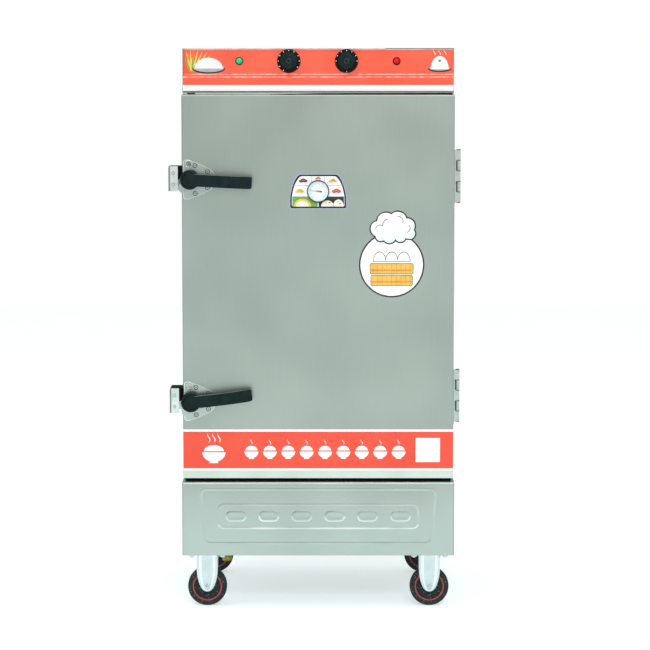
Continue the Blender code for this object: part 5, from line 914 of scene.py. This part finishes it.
def cloud(grow, steps=120):
    """The outer edge of the overlapping puffs, seen from a point inside the cloud."""
    points = []
    for way in map(Vector, circle((0, 0), 1, steps)):
        reach = 0.01
        for x, z, radius in PUFFS:
            offset = Vector((x, z)) - CLOUD_MIDDLE
            hidden = (radius + grow) ** 2 - offset.length_squared + offset.dot(way) ** 2
            if hidden > 0:
                reach = max(reach, offset.dot(way) + math.sqrt(hidden))
        points.append(tuple(CLOUD_MIDDLE + way * reach))
    return points


sticker = Film(0.196, 0.8965, DOOR_Y)
for ink, outline in (
    ("charcoal", circle((0, 0), STICKER_R, 96)), ("white", circle((0, 0), STICKER_R - STICKER_RIM, 96)),
    ("charcoal", cloud(STROKE)), ("sky", cloud(-STROKE)),
    ("white", [(x - 0.0026, z + 0.0028) for x, z in cloud(-0.0048)]),
):
    sticker.print(ink, outline)
for x, z, radius, first, last in (
    (-0.03, 0.091, 0.012, 60, 175), (0.016, 0.111, 0.014, -20, 95), (0.036, 0.094, 0.012, -75, 50),
    (-0.008, 0.102, 0.016, 100, 190),
):
    inner = arc((x, z), radius - STROKE, first, last, 12)
    sticker.print("charcoal", [*arc((x, z), radius, first, last, 12), *reversed(inner)], 0)
sticker.level += Film.LAYER
sticker.row(*[("brown", rounded((-half, low), (half, high), 0.004, 4))
              for low, high, half in ((-0.054, -0.026, 0.054), (-0.024, 0.004, 0.056))],
            *[("brown", mound((x, 0.008), 0.034, 0.026)) for x in BUNS])
sticker.row(*[("straw", rounded((-half, low), (half, high), 0.003, 4))
              for low, high, half in ((-0.0525, -0.0275, 0.0525), (-0.0225, 0.0025, 0.0545))],
            *[("white", mound((x, 0.0095), 0.0305, 0.0225)) for x in BUNS])
for low in (-0.0455, -0.0155):
    sticker.print("orange", rounded((-0.052, low), (0.052, low + 0.0035), 0.001, 2), 0)
    for i in range(9):
        x = -0.048 + i * 0.012
        slat = rounded((x - 0.0006, low - 0.006), (x + 0.0006, low + 0.017), 0.0005, 2)
        sticker.print("orange", slat, Film.HAIR)
for x in BUNS:
    for degrees in (60, 90, 120):
        sticker.print("cream", leaf((x, 0.018), 0.0115, 0.0016, degrees), 0)
sticker.stick("round_sticker_film", "door")

# %% [markdown]
# ## Pictures on the control panel
# A dish of rice with blades of young rice fills the left end, and a plate with a steamed bun stands at the
# right end. Both are made for this model from the same outlines as the stickers.

# %% Stick the panel's pictures
PICTURE_Z = (LEDGE_TOP + panel_high.z) / 2
BLADES = (  # foot, length, direction and ink
    (0.024, 0.05, 100, "leaf"), (0.021, 0.058, 104, "straw"), (0.022, 0.058, 93, "straw"),
    (0.023, 0.055, 84, "leaf"), (0.025, 0.058, 76, "straw"), (0.027, 0.06, 66, "straw"),
    (0.029, 0.062, 56, "straw"), (0.03, 0.06, 46, "straw"), (0.019, 0.04, 112, "leaf"),
)
dish = Film(panel_low.x, PICTURE_Z, UPPER_FACE_Y)
for x, length, degrees, ink in BLADES:
    dish.print(ink, leaf((x, -0.026), length, 0.005, degrees))
dish.print("charcoal", oval((0.066, -0.0185), 0.042, 0.0125, 48))
dish.print("grey", oval((0.066, -0.016), 0.04, 0.011, 48))
dish.print("white", mound((0.066, -0.0175), 0.072, 0.027))
for i in range(26):  # grains, spread evenly by steps that never repeat a place
    grain = (0.037 + (i * 0.618034 % 1) * 0.058, -0.015 + (i * 0.381966 * 2.7 % 1) * 0.014)
    dish.print("cream", leaf(grain, 0.0042, 0.0015, (i * 57) % 180), 0)
dish.stick("panel_rice_picture", "cabinet")

BUN_X = -0.004
bun = Film(0.324, PICTURE_Z, UPPER_FACE_Y)
bun.print("charcoal", oval((BUN_X, -0.019), 0.03, 0.008, 40))
bun.print("grey", oval((BUN_X, -0.017), 0.027, 0.006, 40))
bun.print("cream", mound((BUN_X, -0.019), 0.046, 0.033))
bun.print("white", mound((BUN_X, -0.016), 0.042, 0.029))
for degrees in (50, 70, 90, 110, 130):
    bun.print("slate", leaf((BUN_X, -0.002), 0.0125, 0.0016, degrees), 0)
for shift in (-0.014, 0, 0.014):
    bun.print("white", steam((shift + BUN_X, 0.0165), 0.012, 0.0024), 0)
bun.stick("panel_bun_picture", "cabinet")

# %% [markdown]
# ## Cam latches
# Each latch has a pressed steel plate with a dish, a collar round the pivot, a steel cam behind the handle,
# and an arched nylon handle with a round boss. Turning the handle swings the cam's lobe behind the keeper.
# The plate and cam are flat outlines with softened edges. The handle is its side view, cut to its taper.
# On each plate a raised band along the rim and a stretch of the dish are painted highlights, and the middle of
# the upper dish has painted shade. The handle's top strip is worn, with a painted highlight.

# %% Latch measures
PIVOT_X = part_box("latch_base_upper")[0].x + 0.019
LATCHES = {name: middle(f"latch_base_{name}", x=PIVOT_X, y=DOOR_Y) for name in ("upper", "lower")}
TILTS = {"upper": math.radians(-2.8), "lower": math.radians(7.1)}
PLATE_TOP = 0.002
SCREWS = mm((12.3, 35.6), (12.3, -35.6), (44, 20.3), (44, -20.3))
print({name: [round(v, 4) for v in spot] for name, spot in LATCHES.items()})


def screw_head(bm, x, z, base, radius, rise):
    """A pan head with painted shade in its groove and in its shallow cross recess."""
    groove, crown = base + 0.0004, base + rise
    turned(bm, [(0, base), (radius, base), (radius, groove), (radius * 0.84, groove), (0, groove)], (x, 0, z),
           steps=32, slot=1)
    turned(bm, [(0, groove), (radius * 0.76, groove), (radius * 0.76, base + rise * 0.7),
                (radius * 0.68, crown), (0, crown)], (x, 0, z), steps=32)
    for turn in (0.35, 0.35 + math.pi / 2):
        arm = Vector((math.cos(turn), math.sin(turn))) * radius * 0.34
        side = Vector((-math.sin(turn), math.cos(turn))) * radius * 0.07
        outline = [Vector((x, z)) + spot for spot in (arm + side, side - arm, -arm - side, arm - side)]
        plate(bm, outline, base + rise * 0.5, base + rise * 1.03, slot=1)


# %% Press the base plates
upper = [*arc((-0.012, 0.045), 0.007, 180, 100, 5),
         *flowing(mm((-6, 52), (10.5, 46), (36, 35), (52.5, 26), (62, 15), (64, 6)), 4)]
plate_outline = mirrored(upper)
COLLAR = [*mm((0, 22), (5.2, 22), (6, 21), (6, 5.6), (13.8, 5.8), (15.2, 5.4), (16.6, 4), (18, 2.6)),
          (0.0196, PLATE_TOP + 0.00005), *mm((19.6, 1), (0, 1))]
DISH = [(0, 0.001), *[(radius, PLATE_TOP + rise) for radius, rise in mm(
    (0, 0.1), (6, 0.2), (7.6, 0.6), (8.8, 0.9), (9.8, 0.3), (10.2, -0.2))], (0.0102, 0.001)]
# The material of each stretch of a dish, where slot 3 is painted shade and slot 2 a painted highlight: the
# lower dish has little shade in it
DISH_SLOTS = {"upper": [0, 3, 3, 2, 2, 2, 0, 0], "lower": [0, 0, 0, 2, 0, 0, 0, 0]}
for name, pivot in LATCHES.items():
    bm = bmesh.new()
    plate(bm, plate_outline, 0.0003, PLATE_TOP)
    soften(bm, 0.0009, 3, 60)
    # A raised band of bright steel along the plate's rim is a painted highlight
    rim = [[(x * share + shift, z * share) for x, z in plate_outline]
           for share, shift in ((0.975, 0.0006), (0.945, 0.0014))]
    band(bm, *rim, PLATE_TOP - 0.0003, PLATE_TOP + 0.0004, 2)
    turned(bm, COLLAR)
    turned(bm, DISH, (-0.0042, 0, 0.04), steps=48, slots=DISH_SLOTS[name])
    for x, z in SCREWS:
        screw_head(bm, x, z, PLATE_TOP - 0.0003, 0.006, 0.0014)
    piece(f"latch_plate_{name}", "door",
          shape(f"latch_plate_{name}", bm, PLATE_STEEL, RECESS_SHADE, KEEPER_STEEL_AND_HIGHLIGHT, SHADED_STEEL), pivot,
          instead_of=[f"latch_base_{name}"])

# %% Cut the cams
bm = bmesh.new()
lobe = mm((-23.5, -9), (-27, -12), (-28.5, -16), (-28.5, -25.5), (-26.5, -31), (-21.5, -34), (-16.5, -32.5),
          (-12.5, -25))
plate(bm, [*arc((0, 0), 0.0215, -118, 158, 26), *flowing(lobe, 3)], 0.0065, 0.0125)
soften(bm, 0.0008, 2, 50)
cam_mesh = shape("latch_cam", bm, PLATE_STEEL)
cam_mesh.transform(Matrix.Rotation(TILTS["upper"], 4, "Y"))
for name, pivot in LATCHES.items():
    piece(f"latch_cam_{name}_finished", f"{name}_latch", cam_mesh, pivot, TILTS[name],
          [f"latch_cam_{name}"])

# %% Mould the handles
LEVER_LENGTH, LEVER_REACH, LEVER_BACK = 0.158, 0.045, 0.013
BOSS_TOP = LEVER_BACK + 0.025
ROOT_HALF, TIP_HALF, TIP_START = 0.0158, 0.016, 0.94
LEVER_ROWS = (-1, -0.94, -0.82, -0.4, 0, 0.4, 0.82, 0.91, 1)
outer = flowing([(0, 0.8), (0.14, 0.89), (0.32, 0.965), (0.52, 1), (0.74, 0.95), (0.9, 0.8), (0.985, 0.58)])
tip = flowing([(1, 0.44), (0.978, 0.345), (0.935, 0.4)], 3)
inner = flowing([(0.87, 0.56), (0.74, 0.68), (0.52, 0.745), (0.3, 0.7), (0.19, 0.56), (0.12, 0.35), (0, 0.3)])


def lever_half(share):
    """Half the handle's height: a taper, then a tip that is nearly square with rounded corners."""
    past = max(0.0, (share - TIP_START) / (1 - TIP_START))
    return (ROOT_HALF + (TIP_HALF - ROOT_HALF) * share) * (1 - 0.14 * past ** 3)


bm = bmesh.new()
rings = []
for row in LEVER_ROWS:
    crown = 1 - 0.07 * abs(row) ** 3 - (0.05 if abs(row) == 1 else 0)
    rings.append([])
    for share, out in [*outer, *tip, *inner]:
        capped = min(1.0, share)
        spine = LEVER_REACH * (0.55 + 0.45 * math.sin(math.pi * (0.12 + 0.62 * capped)) ** 0.8) * 0.88
        depth = spine + (out * LEVER_REACH - spine) * (crown if capped > 0.05 else 1)
        rings[-1].append(bm.verts.new((share * LEVER_LENGTH, -depth, row * lever_half(share))))
# The handle's top strip is worn nylon with a painted highlight
bridge(bm, rings, False, 0, [0] * (len(LEVER_ROWS) - 2) + [2])
bm.faces.new(rings[0][::-1])
bm.faces.new(rings[-1])
boss_top = mm((25, -3), (24.3, -1.2), (22.8, 0), (19.2, 0.2), (18.4, -0.8), (17.6, 0.3), (16.6, 1.2), (12, 1.6),
              (0, 1.7))
boss = [(0, LEVER_BACK), (0.025, LEVER_BACK), *[(radius, BOSS_TOP + rise) for radius, rise in boss_top]]
# The groove round the boss and the two ejector marks hold painted shade
turned(bm, boss, steps=96, slots=[0] * 5 + [1, 1] + [0] * 3)
for z in (-0.0084, 0.0084):  # two ejector marks
    turned(bm, mm((0, 44.6), (1.4, 44.6), (1.7, 44.8), (0, 44.9)), (0.101, 0, z), steps=20, slot=1)
lever_mesh = shape("latch_handle", bm, BLACK_NYLON, RECESS_SHADE, WORN_NYLON_AND_HIGHLIGHT, smooth=50)
for name, pivot in LATCHES.items():
    piece(f"latch_handle_{name}", f"{name}_latch", lever_mesh, pivot, TILTS[name],
          [f"latch_lever_{name}"])
print("latches ready")

# %% [markdown]
# ## Keepers
# A keeper is a strip of stainless steel bent into a C, screwed to the case's side. Its front lip is what
# the cam pulls against, and a black rubber pad behind the lip stops the door.

# %% Bend the keepers
KEEPER_SHEET, KEEPER_BEND, KEEPER_BACK, LIP_INSET, BEND_INSET = 0.002, 0.0035, -0.2165, 0.0026, 0.0003
PAD_FRONT, PAD_BACK, PAD_RIGHT = -0.2885, -0.2365, -0.343
for name, pivot in LATCHES.items():
    low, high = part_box(f"keeper_{name}")
    lip, side = low.y + LIP_INSET, high.x - BEND_INSET
    bm = bmesh.new()
    bent(bm, [(side, high.y), (side, KEEPER_BACK), (low.x, KEEPER_BACK), (low.x, lip), (low.x + 0.024, lip)],
         KEEPER_SHEET, low.z, high.z, PLAN, KEEPER_BEND)
    soften(bm, 0.0005, 1, 60)
    # A darker strip of painted shade down the lip's outer edge
    edge = rounded((low.x, low.z + 0.0008), (low.x + 0.0042, high.z - 0.0008), 0.0004, 2)
    plate(bm, edge, 0, 0.0002, slot=2, at=(0, lip, 0))
    pad = rounded((low.x + 0.0022, PAD_FRONT), (PAD_RIGHT, PAD_BACK), 0.002, 3)
    plate(bm, pad, pivot.z + 0.001, pivot.z + 0.0345, PLAN, 1)
    piece(f"keeper_{name}_finished", "cabinet",
          shape(f"keeper_{name}", bm, KEEPER_STEEL_AND_HIGHLIGHT, RUBBER_PAD_AND_SHADOW, SHADED_STEEL), instead_of=[f"keeper_{name}"])
    bm = bmesh.new()
    for rise in (0.0166, -0.0122):
        screw_head(bm, 0, rise, 0, 0.0046, 0.0014)
    piece(f"keeper_screws_{name}", "cabinet",
          shape(f"keeper_screws_{name}", bm, KEEPER_STEEL_AND_HIGHLIGHT, SHADED_STEEL), (low.x + 0.012, lip, pivot.z))
print("keepers ready")

# %% [markdown]
# ## Hinges
# Two welded hinges stand on the right: five knuckles turn on one pin, and a leaf runs along each side.
# Finer knuckles with rolled ends replace the plain ones. Rings of painted shade fill the gaps between them, and
# three bright spots on the knuckles' front are painted highlights.

# %% Roll the hinges
HINGE_X, HINGE_Y, HINGE_HALF = 0.369, -0.2295, 0.068
BARREL, BORE, LEAF = 0.0055, 0.0026, 0.002  # radii of a knuckle and of its bore, and the leaf's sheet
KNUCKLE, KNUCKLE_GAP, ROLLED, RING_HALF = 0.0272, 0.0008, 0.0006, 0.0008
HIGHLIGHT_SPOTS = (0.0485, -0.004, -0.0565)
PIN = mm((0, -69.6), (3.6, -69.4), (4.2, -68.8), (4.2, -68.3), (2.3, -68.3))


def knuckles(bm, inside, sign, first):
    """Every second knuckle, each with the arm that joins it to its leaf."""
    for index in range(first, 5, 2):
        low = (index - 2.5) * KNUCKLE + KNUCKLE_GAP / 2
        high = low + KNUCKLE - KNUCKLE_GAP
        turned(bm, [(BORE, low), (BARREL - ROLLED, low), (BARREL, low + ROLLED), (BARREL, high - ROLLED),
                    (BARREL - ROLLED, high), (BORE, high)], view=PLAN, steps=40)
        arm = sorted((sign * (BARREL - LEAF), sign * (BARREL - 0.0002)))
        plate(bm, rounded((inside + 0.0002, arm[0]), (0, arm[1]), 0.0002, 1), low, high, PLAN)


for name in LATCHES:
    low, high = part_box(f"hinge_leaf_body_{name}")
    inside = low.x - HINGE_X
    for part, body, sign, reach in (("door", "door", -1, 0.04), ("body", "cabinet", 1, 0.038)):
        bm = bmesh.new()
        edges = sorted((sign * (BARREL - LEAF), sign * (BARREL + reach)))
        plate(bm, rounded((inside, edges[0]), (inside + LEAF, edges[1]), 0.0003, 2), -HINGE_HALF, HINGE_HALF,
              PLAN)
        knuckles(bm, inside, sign, 0 if part == "door" else 1)
        if part == "body":
            turned(bm, mirrored(PIN), view=PLAN, steps=32)
        else:
            # Rings of painted shade fill the gaps between the knuckles
            for joint in range(6):
                level = (joint - 2.5) * KNUCKLE
                turned(bm, oblong(BORE, BARREL - 0.0001, level - RING_HALF, level + RING_HALF), view=PLAN,
                       steps=32, slot=1)
            # Three bright spots of painted highlight on the knuckles' front
            for level in HIGHLIGHT_SPOTS:
                spot = rounded((inside + 0.0005, level - 0.005), (-0.001, level + 0.005), 0.0006, 3)
                plate(bm, spot, BARREL - 0.0005, BARREL + 0.0002, slot=2)
        piece(f"hinge_{part}_{name}", body,
              shape(f"hinge_{part}_{name}", bm, HINGE_STEEL, RECESS_SHADE, COVER_STEEL_AND_GLINT),
              (HINGE_X, HINGE_Y, (low.z + high.z) / 2), instead_of=[f"hinge_leaf_{part}_{name}"])
print("hinges ready")

# %% [markdown]
# ## Skirt panel
# The skirt is 1 mm sheet with two pressed frame lines and six pressed ovals. A pressed line is a half
# round ridge swept round a rounded rectangle: the same outline, drawn again at several insets and heights.
# The line of each frame that faces the lamps, and the lower side of each oval, have a painted highlight in a
# bright steel; the rest of the ridge has a softer steel. A bright line along the top bend is a painted
# highlight too.

# %% Press the skirt
SKIRT_Y = skirt_low.y + 0.0015
SKIRT_SHEET, SKIRT_BEND = 0.001, 0.0022
FIELD_TOP, FIELD_BOTTOM, FIELD_MARGIN = skirt_high.z - 0.015, skirt_low.z + 0.0285, 0.049
FRAME_CORNER, FRAME_DROP, FRAME_LEAN = 0.018, 0.04, 0.006
RIDGE_WIDTH, RIDGE_HEIGHT = 0.008, 0.0006
RIDGE = [(RIDGE_WIDTH * t, RIDGE_HEIGHT * math.sin(math.pi * t) ** 1.5 - 0.0001)
         for t in (0.001, 0.12, 0.25, 0.38, 0.5, 0.62, 0.75, 0.88, 0.999)]
RIDGE_BACK = mm((7, -0.6), (1, -0.6))
OVALS, OVAL_PITCH, OVAL_HALF_X, OVAL_HALF_Z, OVAL_CORNER = 6, 0.085, 0.027, 0.0145, 0.0142
OVAL_STEPS = mm((1, -0.6), (0, -0.1), (0.8, 0.2), (2.2, 0.6), (4, 0.9), (6, 1), (8, 0.9), (9.5, 0.7))


def pressed(bm, low, high, corner, steps):
    """Rings of one rounded rectangle, each given by its inset and height."""
    return [ring(bm, rounded((low[0] + inset, low[1] + inset), (high[0] - inset, high[1] - inset),
                             max(corner - inset, 0.001), 10), height) for inset, height in steps]


def take_off_highlight(bm, dull):
    """Takes the painted highlight off the faces that a test picks out by their middle, and gives them the
    softer steel.
    """
    for face in bm.faces:
        if face.material_index == 1 and dull(face.calc_center_median()):
            face.material_index = 2


bm = bmesh.new()
bent(bm, [(skirt_high.y - 0.0002, skirt_high.z), (SKIRT_Y, skirt_high.z), (SKIRT_Y, skirt_low.z),
          (-0.268, skirt_low.z)], SKIRT_SHEET, skirt_low.x, skirt_high.x, SIDE, SKIRT_BEND)
side_sheet = rounded((SKIRT_Y, skirt_low.z), (skirt_high.y, skirt_high.z), SKIRT_BEND, 4)
for near in (skirt_low.x, skirt_high.x - SKIRT_SHEET):
    plate(bm, side_sheet, near, near + SKIRT_SHEET, SIDE)
before = len(bm.verts)
for drop, lean, highlight_on_top in ((0, FRAME_LEAN, True), (FRAME_DROP, 0, False)):
    low = (skirt_low.x + FIELD_MARGIN + drop, FIELD_BOTTOM + drop)
    high = (skirt_high.x - FIELD_MARGIN - drop, FIELD_TOP - drop)
    rings = pressed(bm, low, high, FRAME_CORNER, [*RIDGE, *RIDGE_BACK])
    for vert in sum(rings, []):  # the outer frame narrows downwards
        rise = (2 * vert.co.z - low[1] - high[1]) / (high[1] - low[1])
        vert.co.x += math.copysign(lean, vert.co.x - MIDDLE_X) * rise
    bridge(bm, rings, True, 0, [1] * 8 + [0] * 3)
    # The level near which the frame keeps its painted highlight
    bright = high[1] - 0.004 if highlight_on_top else low[1] + 0.004
    take_off_highlight(bm, lambda spot: abs(spot.z - bright) > 0.009)
centre_x, centre_z = (skirt_low.x + skirt_high.x) / 2, (FIELD_TOP + FIELD_BOTTOM) / 2
for i in range(OVALS):
    x = centre_x + (i - (OVALS - 1) / 2) * OVAL_PITCH
    low, high = (x - OVAL_HALF_X, centre_z - OVAL_HALF_Z), (x + OVAL_HALF_X, centre_z + OVAL_HALF_Z)
    rings = pressed(bm, low, high, OVAL_CORNER, OVAL_STEPS)
    bridge(bm, rings, False, 0, [0, 1, 1, 1, 0, 0, 0])
    bm.faces.new(rings[0])
    bm.faces.new(rings[-1])
    # Only the lower side of each oval keeps its painted highlight
    take_off_highlight(bm, lambda spot: abs(spot.x - x) < 0.028 and 0 < spot.z - centre_z < 0.016)
# A painted highlight along the skirt's top bend
strip = oblong(skirt_low.x + 0.003, skirt_high.x - 0.003, skirt_high.z - 0.0046, skirt_high.z - 0.0026)
plate(bm, strip, -0.0002, 0.0002, slot=1)
bm.verts.ensure_lookup_table()
for vert in bm.verts[before:]:
    vert.co.y += SKIRT_Y
piece("skirt_pressed", "cabinet",
      shape("skirt_pressed", bm, SKIRT_STEEL, RIDGE_HIGHLIGHT, SOFT_RIDGE, smooth=50), instead_of=["skirt_panel"])
print("skirt ready")

# %% [markdown]
# ## Wheels
# Each wheel is a black rubber tread on a black nylon centre, with a red ring moulded between them and a
# small hub. A turned profile with a material for each stretch makes all of it in one closed mesh.

# %% Turn the wheels
WHEEL_R, SPOKES = 0.051, 6
FACE = mm((5.2, 16.5), (12.5, 16.5), (14, 15.8), (15, 11.8), (16.5, 10.5), (23.5, 10.2), (31.8, 10.5),
          (33.4, 12), (34.4, 14.2), (35.5, 15.2), (37.3, 15.2), (38.4, 14.2), (39.2, 14.8), (41, 15.8),
          (45, 16), (47.6, 15.2), (49.6, 13.2), (50.6, 10.5), (51, 6), (51, 0))
FACE_SLOTS = [0] * 8 + [1] * 3 + [0] * 8  # the red ring is the ninth to the eleventh stretch
SPOKE = mm((15, -2.2), (31.8, -1.4), (31.8, 1.4), (15, 2.2))
bm = bmesh.new()
turned(bm, FACE + [(radius, -out) for radius, out in FACE[-2::-1]], steps=96,
       slots=FACE_SLOTS + FACE_SLOTS[::-1] + [0])
for side in (1, -1):
    for spoke in range(SPOKES):
        plate(bm, spun(SPOKE, 360 * (spoke + 0.5) / SPOKES), side * 0.0098, side * 0.0122)
wheel_mesh = shape("wheel", bm, TYRE, RED_POLYMER)
for place in ("front_left", "front_right", "rear_left", "rear_right"):
    piece(f"wheel_{place}_finished", f"{place}_wheel", wheel_mesh, middle(f"wheel_{place}"),
          instead_of=[f"wheel_{place}"])
print("wheels ready")

# %% [markdown]
# ## Forks
# A fork is pressed zinc-plated steel: a top plate with four nuts, and two legs that narrow to a round end
# at the axle. A long pressed rib stiffens each leg, and the rib's sloping sides have painted highlights. The
# front pair is rigid, and the rear pair swivels.

# %% Press the forks
AXLE_LEVEL, AXLE_R, LEG_NEAR, TIP_R = WHEEL_R, 0.0049, 0.018, 0.0136
MOUNT_HALF_X, MOUNT_HALF_Y, BOLT_X, BOLT_Y = 0.0525, 0.0425, 0.0405, 0.0305
# Half the leg's width at shares of its height
LEG_HALVES = ((0, 0), (0.012, 0.22), (0.04, 0.4), (0.085, 0.54), (0.15, 0.68), (0.26, 0.83), (0.37, 0.925),
              (0.48, 0.98), (0.62, 1), (0.8, 0.995), (1, 0.98))
# Rings of a leg from its back to its flat middle: share of the width, raised foot, and height of the face
LEG_RINGS = ((1, 0, 0), (1, 0, 0.0012), (0.975, 0.0006, 0.0022), (0.93, 0.0012, 0.0026), (0.76, 0.0028, 0.0031),
             (0.6, 0.0046, 0.0046), (0.53, 0.0056, 0.005))
BOLT_HEAD = mm((0, 0), (7.8, 0), (7.8, 1), (7.4, 1.3), (6.6, 1.3), (6.2, 0.6), (4.8, 0.6), (4.4, 2.6),
               (3.6, 3.2), (0, 3.4))


def nut(bm, x, y, near, far, radius=0.0075):
    """A hexagon nut with chamfered corners, seen along its bolt."""
    edge = (far - near) * 0.16
    turned(bm, [(0, near), (radius * 0.86, near), (radius, near + edge), (radius, far - edge),
                (radius * 0.86, far), (0, far)], (x, y, 0), PLAN, 6)


def leg_pair(bm, top, left, right, axle_x):
    """Legs that swell from a round foot at the axle to their full width, each with a raised flat middle."""
    foot, waist, full = AXLE_LEVEL - TIP_R, (left + right) / 2, (right - left) / 2
    sides = flowing(LEG_HALVES, 4)
    for side in (1, -1):
        rings = []
        for share, lift, height in LEG_RINGS:
            outline = []
            for way, points in ((1, sides), (-1, sides[::-1][:-1])):
                for t, half in points:
                    level = foot + lift + (top - foot - lift) * t
                    climb = min(1.0, max(0.0, (level - AXLE_LEVEL) / (top - AXLE_LEVEL)))
                    across = axle_x + (waist - axle_x) * climb ** 1.3 + way * half * full * share
                    outline.append((across, level))
            rings.append(ring(bm, outline, side * (LEG_NEAR + height)))
        # The rib's sloping sides carry a painted highlight
        bridge(bm, rings, False, 0, [0, 0, 0, 0, 1, 1])
        bm.faces.new(rings[0])
        bm.faces.new(rings[-1])
        end = LEG_NEAR + LEG_RINGS[-1][2] - 0.0003
        head = [(radius, side * (end + out)) for radius, out in BOLT_HEAD]
        turned(bm, head, (axle_x, 0, AXLE_LEVEL), steps=36)
    rod(bm, AXLE_R, -LEG_NEAR, LEG_NEAR, (axle_x, 0, AXLE_LEVEL))


def mounting(bm, low, high):
    """The top plate with a washer, a nut and a bolt's end under each corner."""
    plate(bm, bar(0, 0, MOUNT_HALF_X, MOUNT_HALF_Y, 0.01, 6), low, high, PLAN)
    for x in (-BOLT_X, BOLT_X):
        for y in (-BOLT_Y, BOLT_Y):
            rod(bm, 0.009, low - 0.001, low, (x, y, 0), PLAN)
            nut(bm, x, y, low - 0.006, low - 0.001)
            turned(bm, [(0, low - 0.008), (0.003, low - 0.008), (0.0036, low - 0.0074), (0.0036, low - 0.0055),
                        (0, low - 0.0055)], (x, y, 0), PLAN, 24)


MOUNT_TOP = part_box("caster_fork_front_left")[1].z
MOUNT_LOW = MOUNT_TOP - 0.004
bm = bmesh.new()
mounting(bm, MOUNT_LOW, MOUNT_TOP)
leg_pair(bm, MOUNT_TOP - 0.0035, -0.0275, 0.0275, 0)
front_mesh = shape("rigid_fork", bm, ZINC, ZINC_RIB_HIGHLIGHT)
for side in ("left", "right"):
    node = f"caster_fork_front_{side}"
    piece(f"fork_front_{side}_pressed", "cabinet", front_mesh, middle(node, z=0),
          instead_of=[node])

CROWN_TOP, CROWN_LOW, CROWN_R, TRAIL = 0.1324, 0.1264, 0.027, 0.032
for side, out in (("left", -1), ("right", 1)):
    swivel = middle(f"caster_plate_rear_{side}", z=0)
    bm = bmesh.new()
    turned(bm, [(0.0064, CROWN_TOP), (0.0262, CROWN_TOP), (CROWN_R, CROWN_TOP - 0.0008),
                (CROWN_R, CROWN_LOW + 0.0008), (0.0262, CROWN_LOW), (0.0064, CROWN_LOW)], view=PLAN)
    leg_pair(bm, CROWN_TOP - 0.001, *sorted((-out * 0.018, out * 0.027)), out * TRAIL)
    piece(f"fork_rear_{side}_pressed", f"rear_{side}_swivel",
          shape(f"fork_rear_{side}", bm, ZINC, ZINC_RIB_HIGHLIGHT), swivel, instead_of=[f"caster_fork_rear_{side}"])
    bm = bmesh.new()
    mounting(bm, MOUNT_LOW, MOUNT_TOP)
    cup = [(radius, MOUNT_TOP - drop)
           for radius, drop in mm((0, 4), (26.2, 4), (28.4, 5.2), (29, 7), (29, 9.8), (6, 10))]
    turned(bm, [*cup, (0.006, CROWN_LOW - 0.0003), (0, CROWN_LOW - 0.0003)], view=PLAN)
    nut(bm, 0, 0, CROWN_LOW - 0.0066, CROWN_LOW - 0.0004, 0.01)
    piece(f"caster_plate_rear_{side}_finished", "cabinet",
          shape(f"caster_plate_{side}", bm, ZINC), swivel, instead_of=[f"caster_plate_rear_{side}"])
print("forks ready")

# %% [markdown]
# ## Finishes on the solid pieces
# Pieces whose shape is already right stay as they are and only get a finish.
# Door, case and frame are ground steel, the chamber is mill finish, and the base is galvanised.

# %% Finish the carried-over pieces
FINISHES = {
    DOOR_STEEL: ["door_outer_skin"],
    CASE_STEEL: ["outer_casing", "front_frame", "control_shelf"],
    COVER_STEEL_AND_GLINT: ["top_cover"],
    LINER_STEEL: ["inner_liner", "door_inner_pan", "rack_left", "rack_right",
                  *(f"tray_{i:02d}" for i in range(1, 11))],
    GALVANISED: ["base_frame"],
    SILICONE: ["door_gasket"],
    FOAM: ["wall_insulation", "door_insulation"],
    HEATER_SHEATH: ["heater_unit"],
    BRASS: ["float_valve", "drain_valve"],
    POLISHED: ["float_arm", "drain_lever"],
    KNOB_BLACK: ["thermostat", "timer"],
}
for finish, names in FINISHES.items():
    for name in names:
        materials = nodes[name].data.materials
        materials.clear()
        materials.append(finish)
finished = sum(FINISHES.values(), [])
print("left bare:", [name for name in nodes if name not in finished and not nodes[name].hide_render])

# %% [markdown]
# ## Last update of the view layer

# %% Update the view layer
bpy.context.view_layer.update()
